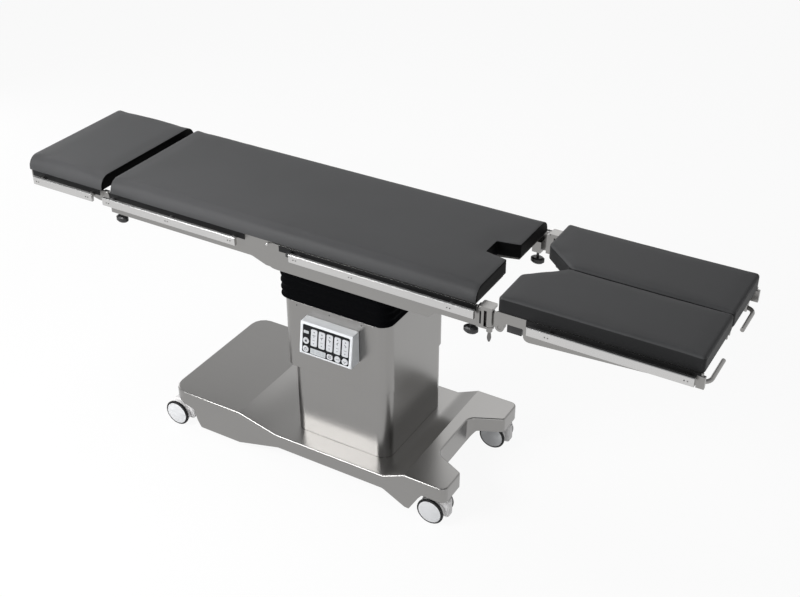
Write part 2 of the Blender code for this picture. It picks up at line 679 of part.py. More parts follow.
def leg_outline(side, inset_end, inset_edge):
    """Plan of a leg pad or tray: a rectangle whose inner corner is cut along the V."""
    (tip_x, tip_y), (mouth_x, mouth_y) = LEG_NOTCH
    low, high = LEG_PAD_X[0] + inset_end, LEG_PAD_X[1] - 0.004 * (inset_edge > 0)
    inner = PAD_SEAM / 2 + inset_edge
    slope = (mouth_y - tip_y) / (tip_x - mouth_x)
    drop = inset_edge * hypot(1, slope)
    v_at_low = mouth_y - (low - mouth_x) * slope + drop
    x_at_inner = tip_x - (inner - tip_y - drop) / slope
    outer = PAD_HALF_WIDTH - 0.0046 * (inset_edge > 0)
    corners = [(low, v_at_low, 0.004), (x_at_inner, inner, 0.006), (high, inner, 0.003), (high, outer, 0.004),
               (low, outer, 0.004)]
    return filleted([(x, side * y, r) for x, y, r in corners], 3)


def leg_pad(side):
    """Leg pad with a small round along its upper edge."""
    shape = bmesh.new()
    face = shape.faces.new([shape.verts.new((*p, PAD_Z[0])) for p in leg_outline(side, 0, 0)])
    moved = bmesh.ops.extrude_face_region(shape, geom=[face])["geom"]
    verts = [item for item in moved if isinstance(item, bmesh.types.BMVert)]
    bmesh.ops.translate(shape, verts=verts, vec=(0, 0, PAD_THICK))
    rim = [e for e in shape.edges if all(v.co.z > PAD_Z[1] - 1e-6 for v in e.verts)]
    bmesh.ops.bevel(shape, geom=rim, offset=0.002, segments=1, profile=0.5, affect="EDGES")
    return to_object(shape)


def cross_tubes(half_y, starts):
    """Cross tubes of a section, each from its lower X."""
    return [box((x, x + TUBE_WIDTH), (-half_y, half_y), TUBE_Z) for x in starts]


def rail(side, x_span, standoffs, root):
    """One flat accessory rail carried on round standoffs that start at a distance from the middle."""
    y_span = on_side(side, *RAIL_Y)
    section = [(y_span[0], RAIL_Z[0]), (y_span[1], RAIL_Z[0]), (y_span[1], RAIL_Z[1]), (y_span[0], RAIL_Z[1])]
    bar = prism(filleted([(u, v, RAIL_CHAMFER) for u, v in section], 1), "X", x_span)
    middle = (RAIL_Z[0] + RAIL_Z[1]) / 2
    for x in standoffs:
        reach = on_side(side, root, RAIL_Y[0] + 0.003)
        welded(bar, rod(STANDOFF_R, "Y", (x, 0, middle), reach, 12))
    return bar


def panel(x_span):
    """Radiolucent panel between the side plates."""
    half_y = INNER_PLATE_Y[0] - RUN_GAP
    return box(x_span, (-half_y, half_y), (PANEL_BOTTOM_Z, PANEL_TOP_Z))


def knob_block(spot, side, half_x):
    """Corner block that a knob's stem goes into."""
    outer = INNER_PLATE_Y[0] + 0.002 if spot is HEAD_KNOB else OUTER_PLATE_Y[0] + 0.002
    return box((spot[0] - half_x, spot[0] + half_x), on_side(side, spot[1] - 0.014, outer),
               (KNOB_BLOCK_Z, TUBE_Z[0] + 0.004))


def knob_bore(spot, side):
    return rod(KNOB_STEM_R + RUN_GAP, "Z", (spot[0], side * spot[1], 0),
               (KNOB_BLOCK_Z - 0.01, KNOB_BLOCK_Z + KNOB_REACH + RUN_GAP))


def wing_knob(spot, side):
    """Oval wing knob with its stem."""
    centre = (spot[0], side * spot[1])
    low, high = KNOB_Z - KNOB_HEIGHT / 2, KNOB_Z + KNOB_HEIGHT / 2
    levels = ((0.72, 0.72, low), (1, 1, low + 0.005), (1, 1, high - 0.004), (0.75, 0.75, high))
    rings = [[(*p, z) for p in ellipse(KNOB_HALF[0] * a, KNOB_HALF[1] * b, 14, centre)] for a, b, z in levels]
    for z in (high, KNOB_BLOCK_Z + KNOB_REACH):
        rings.append([(*p, z) for p in ellipse(KNOB_STEM_R, KNOB_STEM_R, 14, centre)])
    return skin(rings)


def back_frame():
    """Side plates that deepen to the hinge lugs, cross tubes, head hinge ears with pins."""
    x, z = BACK_HINGE
    foot = z - BACK_LUG_R
    round_r = BACK_LUG_R - 0.0001
    outline = filleted([(BACK_PLATE_END_X, FRAME_TOP_Z, 0), (x + BACK_LUG_R, FRAME_TOP_Z, round_r),
                        (x + BACK_LUG_R, foot, round_r), (x - 0.037, foot, 0.030),
                        (x - 0.086, BACK_PLATE_LOW_Z, 0.030), (BACK_PLATE_END_X, BACK_PLATE_LOW_Z, 0)], 6)
    hinge_x, hinge_z = HEAD_HINGE
    root_x, step_x = BACK_PANEL_X[0] + 0.0265, BACK_PANEL_X[0] - 0.002
    ear = filleted([(hinge_x - HEAD_EAR_R, hinge_z + HEAD_EAR_R, HEAD_EAR_R - 0.0001),
                    (step_x, hinge_z + HEAD_EAR_R, 0), (step_x, TUBE_TOP_Z - 0.002, 0),
                    (root_x, TUBE_TOP_Z - 0.002, 0), (root_x, hinge_z - HEAD_EAR_R, 0),
                    (hinge_x - HEAD_EAR_R, hinge_z - HEAD_EAR_R, HEAD_EAR_R - 0.0001)])
    frame = None
    for side in SIDES.values():
        plate = prism(outline, "Y", on_side(side, *INNER_PLATE_Y))
        cut(plate, rod(BACK_PIN_R + RUN_GAP, "Y", (x, 0, z), on_side(side, 0.20, 0.23), 16))
        frame = grouped(frame, plate) if frame else plate
    for tube in cross_tubes(INNER_PLATE_Y[0] + WELD, BACK_TUBES_X):
        welded(frame, tube)
    ear_face = INNER_PLATE_Y[0] - RUN_GAP
    for side in SIDES.values():
        welded(frame, knob_block(HEAD_KNOB, side, 0.014))
        hinge_ear = prism(ear, "Y", on_side(side, ear_face - 0.007, ear_face))
        pin_span = on_side(side, ear_face - 0.003, INNER_PLATE_Y[1] - RUN_GAP)
        welded(hinge_ear, rod(PIN_R, "Y", (hinge_x, 0, hinge_z), pin_span))
        welded(frame, hinge_ear)
        cut(frame, knob_bore(HEAD_KNOB, side))
    return frame


def head_frame():
    """Side arms with rounded hinge lugs, joined by cross tubes."""
    x, z = HEAD_HINGE
    low = HEAD_PLATE_LOW_Z
    outline = filleted([(HEAD_PLATE_END_X, FRAME_TOP_Z, 0.004), (x + HEAD_LUG_R, FRAME_TOP_Z, 0.012),
                        (x + HEAD_LUG_R, z - HEAD_LUG_R, HEAD_LUG_R - 0.0005),
                        (x - HEAD_LUG_R, z - HEAD_LUG_R, HEAD_LUG_R - 0.0005), (x - 0.046, low, 0.020),
                        (HEAD_PLATE_END_X, low, 0.004)])
    frame = None
    for side in SIDES.values():
        plate = prism(outline, "Y", on_side(side, *INNER_PLATE_Y))
        cut(plate, rod(PIN_R + RUN_GAP, "Y", (x, 0, z), on_side(side, 0.20, 0.23)))
        frame = grouped(frame, plate) if frame else plate
    welded(frame, *cross_tubes(INNER_PLATE_Y[0] + WELD, HEAD_TUBES_X))
    for side in SIDES.values():
        welded(frame, rail(side, HEAD_RAIL_X, HEAD_STANDOFFS, INNER_PLATE_Y[1] - WELD))
    return frame


def seat_plate_outline():
    x, z = BACK_HINGE
    round_r = BACK_LUG_R - 0.0001
    low = z - BACK_LUG_R
    return filleted([(x - BACK_LUG_R, FRAME_TOP_Z, round_r), (SEAT_PLATE_END_X, FRAME_TOP_Z, 0),
                     (SEAT_PLATE_END_X, SEAT_PLATE_LOW_Z, 0), (SEAT_STEP_X[1], SEAT_PLATE_LOW_Z, 0.012),
                     (SEAT_STEP_X[0], low, 0.012),
                     (x - BACK_LUG_R, low, round_r)], 6)


def post_ear(side, z_span):
    """Ear of the leg clamp, round about the post."""
    (x, y), r = POST, POST_R + 0.001
    corners = [(SEAT_PLATE_END_X + 0.012, y - r, 0), (x + r, y - r, r - 0.0001), (x + r, y + r, r - 0.0001),
               (SEAT_PLATE_END_X + 0.012, y + r, 0)]
    return prism(filleted([(u, side * v, f) for u, v, f in corners], 3), "Z", z_span)


def leg_clamp(side):
    """Clamp block at the seat's corner: two ears for the post and an upright slot."""
    y_span = on_side(side, POST[1] - 0.0115, POST[1] + 0.0125)
    x_span = (SEAT_PLATE_END_X - 0.0015, SEAT_PLATE_END_X + 0.020)
    block = box(x_span, y_span, (SEAT_PLATE_LOW_Z + 0.0005, FRAME_TOP_Z - 0.001))
    welded(block, post_ear(side, LOW_EAR_Z), post_ear(side, HIGH_EAR_Z))
    groove_x = (SEAT_PLATE_END_X + 0.0080, SEAT_PLATE_END_X + 0.0125)
    groove = box(groove_x, on_side(side, POST[1] + 0.0085, POST[1] + 0.02),
                 (FRAME_TOP_Z - 0.049, FRAME_TOP_Z - 0.011))
    bore = rod(POST_PIN_R + RUN_GAP, "Z", (POST[0], side * POST[1], 0), (LOW_EAR_Z[0] - 0.02, POST_CAP_TOP_Z))
    return cut(block, groove, bore)


def seat_frame():
    """Side plates, cross beams, saddle with hangers for the lateral tilt shaft, corner clamps."""
    frame = None
    x, z = BACK_HINGE
    for side in SIDES.values():
        plate = prism(seat_plate_outline(), "Y", on_side(side, *OUTER_PLATE_Y))
        pin_span = on_side(side, INNER_PLATE_Y[0] - 0.001, OUTER_PLATE_Y[0] + 0.003)
        welded(plate, rod(BACK_PIN_R, "Y", (x, 0, z), pin_span, 16))
        frame = grouped(frame, plate) if frame else plate
    beam_y = OUTER_PLATE_Y[0] + WELD
    hanger = filleted([(-0.060, TUBE_TOP_Z - 0.030, 0), (-0.024, TILT_Z - 0.024, 0.0235),
                       (0.024, TILT_Z - 0.024, 0.0235), (0.060, TUBE_TOP_Z - 0.030, 0)], 3)
    for low, high in (HANGER_X, (-HANGER_X[1], -HANGER_X[0])):
        beam = box((low, high), (-beam_y, beam_y), (TUBE_TOP_Z - 0.040, TUBE_TOP_Z))
        welded(frame, welded(beam, prism(hanger, "X", (low + 0.0005, high - 0.0005))))
    welded(frame, box((SEAT_TUBE_X, SEAT_TUBE_X + TUBE_WIDTH), (-beam_y, beam_y), TUBE_Z))
    centre, half_x, half_y = UPPER_PLAN
    welded(frame, prism(rounded_rect(half_x + BELLOWS_GROW[0], half_y + 0.008, 0.040, 3, (centre, 0)), "Z",
                        SADDLE_Z))
    for side in SIDES.values():
        welded(frame, knob_block(SEAT_KNOB, side, 0.0135), leg_clamp(side))
        cut(frame, knob_bore(SEAT_KNOB, side))
    return cut(frame, rod(SHAFT_R + RUN_GAP, "X", (0, 0, TILT_Z), (-0.15, 0.15)))


def seat_panel():
    board = panel(SEAT_PANEL_X)
    return cut(board, seat_notch(0.003, (PANEL_BOTTOM_Z - 0.01, PANEL_TOP_Z + 0.01)))


def leg_post(side):
    """Turning post with its top plate, and the arm and pin that the leg tilts on."""
    x, y = POST
    low, high = LOCK_HANDLE_Z[1] + SEAT_GAP, FRAME_TOP_Z + 0.002
    wide = (LOW_EAR_Z[1] + RUN_GAP, HIGH_EAR_Z[0] - RUN_GAP)
    profile = [(0, low), (POST_PIN_R, low), (POST_PIN_R, wide[0]), (POST_R, wide[0]), (POST_R, wide[1]),
               (POST_PIN_R, wide[1]), (POST_PIN_R, high), (0, high)]
    post = turned(profile, "Z", (x, side * y, 0), 16)
    cap = rounded_rect(0.01925, 0.0170, 0.004, 3, (x - 0.00525, side * (y + 0.0005)))
    welded(post, prism(cap, "Z", (FRAME_TOP_Z + SEAT_GAP, POST_CAP_TOP_Z)))
    hinge_x, hinge_z = LEG_HINGE
    arm_top = FRAME_TOP_Z - 0.013
    arm = filleted([(x, hinge_z + 0.008, 0), (x, arm_top, 0), (hinge_x - 0.004, arm_top, 0.006),
                    (hinge_x + 0.011, hinge_z + 0.008, 0.008), (hinge_x + 0.011, hinge_z - 0.011, 0.0105),
                    (hinge_x - 0.011, hinge_z - 0.011, 0.004)])
    arm_face = OUTER_PLATE_Y[0] - RUN_GAP
    welded(post, prism(arm, "Y", on_side(side, arm_face - 0.013, arm_face)))
    pin_span = on_side(side, arm_face - 0.004, OUTER_PLATE_Y[1] - RUN_GAP)
    return welded(post, rod(LEG_PIN_R, "Y", (hinge_x, 0, hinge_z), pin_span))


def lock_handle(side):
    """Spindle-shaped handle under the post."""
    low, high = LOCK_HANDLE_Z
    length = high - low
    profile = [(0, low), (0.0030, low + 0.0006), (0.0052, low + length * 0.25), (0.0058, low + length * 0.42),
               (0.0048, low + length * 0.72), (0.0032, high), (0, high)]
    return turned(profile, "Z", (POST[0], side * POST[1], 0), 12)


def leg_plate_outline():
    """Side view of a leg's plate: neck with a lug, then full depth tapering to the end."""
    x, z = LEG_HINGE
    r = LEG_LUG_R
    end, step, neck_z = LEG_PAD_X[1], LEG_STEP_X, FRAME_TOP_Z - 0.030
    return filleted([(x - r, FRAME_TOP_Z, 0.010), (end, FRAME_TOP_Z, 0.002),
                     (end, FRAME_TOP_Z - 0.038, 0.005), (step, FRAME_TOP_Z - 0.0665, 0.016),
                     (step, neck_z, 0.004), (x + r, neck_z, 0.006),
                     (x + r, z - r, r - 0.0001), (x - r, z - r, r - 0.0001)])


def end_grip(side):
    """Bent round grip at the leg section's end."""
    inner, outer = GRIP_Y
    bend = arc((GRIP_X - GRIP_BEND_R, outer - GRIP_BEND_R), GRIP_BEND_R, pi / 2, 0, 6)
    points = [(1.012, outer)] + bend + [(GRIP_X, inner)]
    return bent_rod([(u, side * v, GRIP_Z) for u, v in points], GRIP_R)


def leg_frame(side):
    """Leg section's tray: outer plate with its lug, cross tubes, inner bar, tray sheet, end grip."""
    x, z = LEG_HINGE
    frame = prism(leg_plate_outline(), "Y", on_side(side, *OUTER_PLATE_Y))
    cut(frame, rod(LEG_PIN_R + RUN_GAP, "Y", (x, 0, z), on_side(side, 0.20, 0.24)))
    inner = 0.0075
    tube_y = on_side(side, inner + 0.002, OUTER_PLATE_Y[0] + WELD)
    for start in LEG_TUBES_X:
        welded(frame, box((start, start + TUBE_WIDTH), tube_y, TUBE_Z))
    bar_x = (LEG_TUBES_X[0] - 0.008, LEG_TUBES_X[-1] + 0.035)
    welded(frame, box(bar_x, on_side(side, inner, inner + 0.006), (TUBE_Z[0] - 0.001, TUBE_Z[1] + 0.002)))
    sheet = prism(leg_outline(side, 0.033, 0.006), "Z", (TUBE_TOP_Z - 0.001, PANEL_TOP_Z))
    welded(frame, sheet)
    end_block_z = (FRAME_TOP_Z - 0.0435, FRAME_TOP_Z - 0.008)
    end_block_x = (LEG_PAD_X[1] - 0.0145, LEG_PAD_X[1] + 0.006)
    welded(frame, box(end_block_x, on_side(side, 0.2175, 0.2275), end_block_z, 0.001))
    socket = box((0.995, 1.040), on_side(side, GRIP_Y[1] - 0.009, GRIP_Y[1] + 0.009),
                 (GRIP_Z - 0.009, TUBE_Z[0] + 0.004))
    welded(frame, welded(socket, end_grip(side)))
    return welded(frame, rail(side, LEG_RAIL_X, LEG_STANDOFFS, OUTER_PLATE_Y[1] - WELD))


def set_carriers():
    """Empties on the joint axes, from the floor up."""
    carrier("table_centre", (0, 0, 0))
    CARRIERS["table_centre"][0].location.x = TABLE_SHIFT_X
    for end, x in (("head", CASTER_HEAD_X), ("foot", CASTER_FOOT_X)):
        for name, side in SIDES.items():
            y = side * CASTER_Y
            carrier(f"swivel_{end}_{name}", (x + CASTER_TRAIL, y, WHEEL_R), "table_centre")
            carrier(f"axle_{end}_{name}", (x, y, WHEEL_R), f"swivel_{end}_{name}")
    carrier("middle_slide", (0, 0, BASE_PLATE_Z), "table_centre")
    carrier("lift_slide", (0, 0, BASE_PLATE_Z), "table_centre")
    carrier("panel_face", PANEL_CENTRE, "lift_slide", pi / 2 - PANEL_LEAN)
    carrier("tilt_axis", (0, 0, TILT_Z), "lift_slide")
    carrier("lateral_axis", (0, 0, TILT_Z), "tilt_axis")
    carrier("back_axis", (BACK_HINGE[0], 0, BACK_HINGE[1]), "lateral_axis")
    carrier("head_axis", (HEAD_HINGE[0], 0, HEAD_HINGE[1]), "back_axis")
    for name, side in SIDES.items():
        carrier(f"post_{name}", (POST[0], side * POST[1], LEG_HINGE[1]), "lateral_axis")
        carrier(f"leg_axis_{name}", (LEG_HINGE[0], side * POST[1], LEG_HINGE[1]), f"post_{name}")
        carrier(f"head_knob_{name}", (HEAD_KNOB[0], side * HEAD_KNOB[1], KNOB_Z), "back_axis")
        carrier(f"seat_knob_{name}", (SEAT_KNOB[0], side * SEAT_KNOB[1], KNOB_Z), "lateral_axis")


def make_base():
    finished("base_shell", base_shell(), STEEL, "table_centre")
    finished("base_chassis", base_chassis(), PAINT_DARK, "table_centre")
    finished("battery_pack", battery_pack(), PAINT_DARK, "table_centre")
    for end, x in (("head", CASTER_HEAD_X), ("foot", CASTER_FOOT_X)):
        for name, side in SIDES.items():
            y = side * CASTER_Y
            finished(f"caster_hood_{end}_{name}", caster_hood(x, y), HOOD_GREY, f"swivel_{end}_{name}")
            finished(f"caster_wheels_{end}_{name}", caster_wheels(x, y), WHEEL_WHITE, f"axle_{end}_{name}")


def make_column():
    foot = BASE_PLATE_Z + SEAT_GAP
    finished("lower_column_sleeve", column_sleeve(LOWER_PLAN, (foot, LOWER_TOP_Z)), STEEL, "table_centre")
    finished("lift_cylinder", lift_cylinder(), BRIGHT_STEEL, "table_centre")
    inset = SLEEVE_WALL + SLEEVE_GAP
    middle = (LOWER_PLAN[0], LOWER_PLAN[1] - inset, LOWER_PLAN[2] - inset)
    finished("middle_column_sleeve", column_sleeve(middle, MIDDLE_SPAN_Z), STEEL, "middle_slide")
    finished("upper_column_sleeve", column_sleeve(UPPER_PLAN, UPPER_SPAN_Z), STEEL, "lift_slide")
    finished("column_head", column_head(), DARK_STEEL, "lift_slide")
    lift_rod = rod(ROD_R, "Z", (0, 0, 0), (ROD_BOTTOM_Z, HEAD_PLATE_Z[0] - SEAT_GAP), 20)
    finished("lift_rod", lift_rod, BRIGHT_STEEL, "lift_slide")
    lower = bellows(UPPER_SPAN_Z[1] + SEAT_GAP, TILT_Z - SEAT_GAP)
    finished("lower_bellows", lower, RUBBER_BLACK, "lift_slide", 20)
    finished("gimbal_cross", gimbal_cross(), BRIGHT_STEEL, "tilt_axis")
    upper = bellows(SADDLE_Z[0] - SEAT_GAP, TILT_Z + SEAT_GAP)
    finished("upper_bellows", upper, RUBBER_BLACK, "lateral_axis", 20)


def make_panel():
    finished("panel_housing", panel_housing(), SHELL_WHITE, "lift_slide")
    finished("panel_faceplate", panel_faceplate(), MEMBRANE_BLACK, "panel_face")
    finished("panel_board", panel_board(), SCREEN_GREY, "panel_face")
    for name, (centre, size, radius) in key_outlines().items():
        key = finished(name, panel_key(size, radius), KEY_GREY, "panel_face")
        key.location = (*centre, 0)


def make_top():
    finished("seat_frame", seat_frame(), BRIGHT_STEEL, "lateral_axis")
    finished("seat_panel", seat_panel(), LAMINATE, "lateral_axis")
    finished("seat_pad", seat_pad(), PAD_BLACK, "lateral_axis")
    finished("pad_fold", pad(FOLD_PAD_X), PAD_BLACK, "lateral_axis")
    finished("back_frame", back_frame(), BRIGHT_STEEL, "back_axis")
    finished("back_panel", panel(BACK_PANEL_X), LAMINATE, "back_axis")
    finished("back_pad", pad(BACK_PAD_X), PAD_BLACK, "back_axis")
    finished("head_frame", head_frame(), BRIGHT_STEEL, "head_axis")
    finished("head_panel", panel(HEAD_PANEL_X), LAMINATE, "head_axis")
    finished("head_pad", pad(HEAD_PAD_X), PAD_BLACK, "head_axis")
    for name, side in SIDES.items():
        seat_rail = rail(side, SEAT_RAIL_X, SEAT_STANDOFFS, OUTER_PLATE_Y[1] + SEAT_GAP)
        finished(f"seat_rail_{name}", seat_rail, BRIGHT_STEEL, "lateral_axis")
        back_rail = rail(side, BACK_RAIL_X, BACK_STANDOFFS, INNER_PLATE_Y[1] + SEAT_GAP)
        finished(f"back_rail_{name}", back_rail, BRIGHT_STEEL, "back_axis")


def make_legs():
    for name, side in SIDES.items():
        finished(f"leg_post_{name}", leg_post(side), BRIGHT_STEEL, f"post_{name}")
        finished(f"lock_handle_{name}", lock_handle(side), DARK_STEEL, f"post_{name}")
        finished(f"leg_frame_{name}", leg_frame(side), BRIGHT_STEEL, f"leg_axis_{name}")
        finished(f"leg_pad_{name}", leg_pad(side), PAD_BLACK, f"leg_axis_{name}")
        finished(f"head_knob_{name}_body", wing_knob(HEAD_KNOB, side), PAINT_DARK, f"head_knob_{name}")
        finished(f"seat_knob_{name}_body", wing_knob(SEAT_KNOB, side), PAINT_DARK, f"seat_knob_{name}")


def main():
    for obj in list(bpy.data.objects):
        bpy.data.objects.remove(obj)
    set_carriers()
    make_base()
    make_column()
    make_panel()
    make_top()
    make_legs()


main()
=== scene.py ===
"""Operating table: upholstery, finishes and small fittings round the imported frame.

Metres, +Z up, floor at Z 0. X runs along the table with the legs at +X, and -Y is the side with the key panel.
"""
import bpy
import bmesh
import json
from math import pi, radians
from mathutils import Matrix, Vector

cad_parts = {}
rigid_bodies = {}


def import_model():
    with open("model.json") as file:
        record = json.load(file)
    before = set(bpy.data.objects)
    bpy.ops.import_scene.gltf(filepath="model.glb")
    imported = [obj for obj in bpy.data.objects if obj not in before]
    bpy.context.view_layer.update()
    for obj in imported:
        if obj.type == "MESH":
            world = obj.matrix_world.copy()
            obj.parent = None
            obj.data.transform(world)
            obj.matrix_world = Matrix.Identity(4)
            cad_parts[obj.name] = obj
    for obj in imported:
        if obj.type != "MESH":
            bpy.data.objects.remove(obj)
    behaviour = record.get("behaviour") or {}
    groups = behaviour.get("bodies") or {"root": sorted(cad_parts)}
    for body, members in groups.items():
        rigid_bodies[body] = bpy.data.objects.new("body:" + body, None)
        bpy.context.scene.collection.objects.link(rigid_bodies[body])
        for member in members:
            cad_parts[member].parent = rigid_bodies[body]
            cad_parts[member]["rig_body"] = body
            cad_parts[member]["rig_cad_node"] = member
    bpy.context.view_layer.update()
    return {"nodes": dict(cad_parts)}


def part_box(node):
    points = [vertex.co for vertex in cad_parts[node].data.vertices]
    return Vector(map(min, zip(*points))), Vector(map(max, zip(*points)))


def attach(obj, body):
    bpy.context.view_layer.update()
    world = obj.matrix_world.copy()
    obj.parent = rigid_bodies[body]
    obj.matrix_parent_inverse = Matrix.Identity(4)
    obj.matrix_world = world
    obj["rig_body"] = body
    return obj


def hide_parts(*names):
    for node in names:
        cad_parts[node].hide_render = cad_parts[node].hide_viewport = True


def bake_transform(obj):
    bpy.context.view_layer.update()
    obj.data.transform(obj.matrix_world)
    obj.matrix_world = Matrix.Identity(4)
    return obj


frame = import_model()
SIDES = {"right": -1, "left": 1}


# Colours, linear

STEEL_SHELL = (0.278, 0.273, 0.267)
STEEL_FRAME = (0.290, 0.285, 0.278)
STEEL_RAIL = (0.570, 0.565, 0.560)
STEEL_DARK = (0.150, 0.147, 0.145)
PAD_TOP = (0.062, 0.0625, 0.0645)
PAD_GRAIN = (0.052, 0.0525, 0.0540)
RUBBER = (0.0020, 0.0021, 0.0025)
HOUSING = (0.720, 0.738, 0.760)
DISC_WHITE = (0.680, 0.688, 0.702)
HOOD_PALE = (0.800, 0.790, 0.792)
KEY_PALE = (0.560, 0.572, 0.595)
MEMBRANE = (0.0040, 0.0048, 0.0060)
SCREEN = (0.470, 0.490, 0.505)
INK = (0.020, 0.022, 0.028)
LAMINATE_DARK = (0.030, 0.028, 0.026)
LAMINATE_PALE = (0.075, 0.070, 0.064)
# painted shade: a near-black copy of the upholstery colour for the pads' end faces and the notch walls
PAD_END_SHADE = (0.0018, 0.0018, 0.0020)
PAD_END_SHADE_GRAIN = (0.0012, 0.0012, 0.0013)
# painted shade: a darker copy of the upholstery colour for the leg pads' sides
PAD_SIDE_SHADE = (0.0110, 0.0112, 0.0120)
PAD_SIDE_SHADE_GRAIN = (0.0085, 0.0087, 0.0092)
# painted shade: black for the strips standing in the shaded gap behind the rails and for the clamp's slot
GAP_SHADE_BLACK = (0.0040, 0.0040, 0.0044)
TYRE_BLACK = (0.0035, 0.0035, 0.004)
KNOB_BLACK = (0.012, 0.012, 0.013)
COATING = (0.045, 0.045, 0.048)
SEGMENT_GREY = (0.26, 0.28, 0.30)


# Selecting and working in edit mode

def clear_selection():
    if bpy.context.object and bpy.context.object.mode != "OBJECT":
        bpy.ops.object.mode_set(mode="OBJECT")
    bpy.ops.object.select_all(action="DESELECT")


def pick(obj):
    clear_selection()
    obj.select_set(True)
    bpy.context.view_layer.objects.active = obj


def edit(obj, kind="FACE"):
    pick(obj)
    bpy.ops.object.mode_set(mode="EDIT")
    bpy.ops.mesh.select_mode(type=kind)
    bpy.ops.mesh.select_all(action="DESELECT")


def done():
    bpy.ops.object.mode_set(mode="OBJECT")


def select_faces(obj, wanted):
    """Select the faces for which wanted(centre, normal) holds, in edit mode, and say how many."""
    shape = bmesh.from_edit_mesh(obj.data)
    count = 0
    for face in shape.faces:
        chosen = bool(wanted(face.calc_center_median(), face.normal))
        face.select_set(chosen)
        count += chosen
    shape.select_flush_mode()
    bmesh.update_edit_mesh(obj.data)
    return count


def select_edges(obj, wanted):
    """Select the edges for which wanted(edge) holds, in edit mode, and say how many."""
    shape = bmesh.from_edit_mesh(obj.data)
    count = 0
    for item in shape.edges:
        chosen = bool(wanted(item))
        item.select_set(chosen)
        count += chosen
    bmesh.update_edit_mesh(obj.data)
    return count


def fold_angle(item):
    return item.calc_face_angle(0.0) if len(item.link_faces) == 2 else pi


def added(name):
    """The primitive just added, under its own name."""
    obj = bpy.context.object
    obj.name = name
    obj.data.name = name
    return obj


def block(name, low, high, turn=(0, 0, 0)):
    clear_selection()
    centre = [(a + b) / 2 for a, b in zip(low, high)]
    bpy.ops.mesh.primitive_cube_add(size=1, location=centre, rotation=turn)
    obj = added(name)
    obj.scale = [b - a for a, b in zip(low, high)]
    bpy.ops.object.transform_apply(location=True, rotation=True, scale=True)
    return obj


def disc(name, radius, depth, centre, turn=(0, 0, 0), vertices=32):
    clear_selection()
    bpy.ops.mesh.primitive_cylinder_add(vertices=vertices, radius=radius, depth=depth, location=centre,
                                        rotation=turn)
    obj = added(name)
    bpy.ops.object.transform_apply(location=True, rotation=True, scale=True)
    return obj


def rounded_edges(obj, width, segments=2, least=30):
    """Bevel every edge that folds by more than the least angle."""
    edit(obj, "EDGE")
    if select_edges(obj, lambda e: fold_angle(e) > radians(least)):
        bpy.ops.mesh.bevel(offset=width, segments=segments, profile=0.5, affect="EDGES", clamp_overlap=True)
    done()
    return obj


def smooth(obj, angle=32):
    pick(obj)
    bpy.ops.object.shade_smooth_by_angle(angle=radians(angle))
    return obj


def apply_modifier(obj, kind, **settings):
    pick(obj)
    change = obj.modifiers.new(kind.lower(), kind)
    for key, value in settings.items():
        setattr(change, key, value)
    bpy.ops.object.modifier_apply(modifier=change.name)
    return obj


def joined(name, parts):
    clear_selection()
    for part in parts:
        part.select_set(True)
    bpy.context.view_layer.objects.active = parts[0]
    if len(parts) > 1:
        bpy.ops.object.join()
    return added(name)


def settled(obj, body, material=None):
    """Give a piece its finish and let it ride on its body."""
    if material:
        obj.data.materials.clear()
        obj.data.materials.append(material)
    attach(obj, body)
    return obj


def body_with(node_name):
    return frame["nodes"][node_name]["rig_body"]


MERGE_WITHIN = 0.00001
FLAT_WITHIN = 0.5                # degrees between two facets of one flat face
SOFTENED = {"hood": (0.0014, 3, 25), "housing": (0.0016, 3, 25),   # width, segments, least fold in degrees
            "sleeve": (0.0006, 2, 60), "frame": (0.0005, 1, 40)}


def clean_shading(obj):
    """Smooth shading in which the large flat faces stay flat and the narrow bevels turn."""
    smooth(obj, 35)
    return apply_modifier(obj, "WEIGHTED_NORMAL", mode="FACE_AREA", weight=100, keep_sharp=True)


def dressed_copy(node_name, name, width, segments=2, least=30):
    """Merged copy of a CAD node with its edges softened, which then stands for the node."""
    pick(frame["nodes"][node_name])
    bpy.ops.object.duplicate(linked=False)
    obj = added(name)
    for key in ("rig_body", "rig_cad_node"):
        del obj[key]
    obj.parent = None
    obj.matrix_world = Matrix.Identity(4)
    edit(obj, "VERT")
    bpy.ops.mesh.select_all(action="SELECT")
    bpy.ops.mesh.remove_doubles(threshold=MERGE_WITHIN)
    bpy.ops.mesh.dissolve_limited(angle_limit=radians(FLAT_WITHIN))
    done()
    if width:
        rounded_edges(obj, width, segments, least)
    clean_shading(obj)
    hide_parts(node_name)
    return obj


# Finishes

MOST = (0.3, 0.7)                # the span in which most of a noise's values lie
BRUSH_ALONG, BRUSH_ACROSS = 3.0, 420.0


def finish_nodes(name):
    """New material with its shader and a few node helpers."""
    material = bpy.data.materials.new(name)
    material.use_nodes = True
    tree = material.node_tree
    return material, tree, tree.nodes["Principled BSDF"]


def node(tree, kind, **settings):
    item = tree.nodes.new(kind)
    for key, value in settings.items():
        if key in item.inputs:
            item.inputs[key].default_value = value
        else:
            setattr(item, key, value)
    return item


def place_in_piece(tree, scale=(1, 1, 1)):
    """Object coordinates through a mapping."""
    where = node(tree, "ShaderNodeTexCoord")
    mapping = node(tree, "ShaderNodeMapping")
    mapping.inputs["Scale"].default_value = scale
    tree.links.new(where.outputs["Object"], mapping.inputs["Vector"])
    return mapping.outputs["Vector"]


def noise(tree, vector, scale, detail=3.0, rough=0.5):
    item = node(tree, "ShaderNodeTexNoise", Scale=scale, Detail=detail, Roughness=rough)
    tree.links.new(vector, item.inputs["Vector"])
    return item.outputs["Fac"]


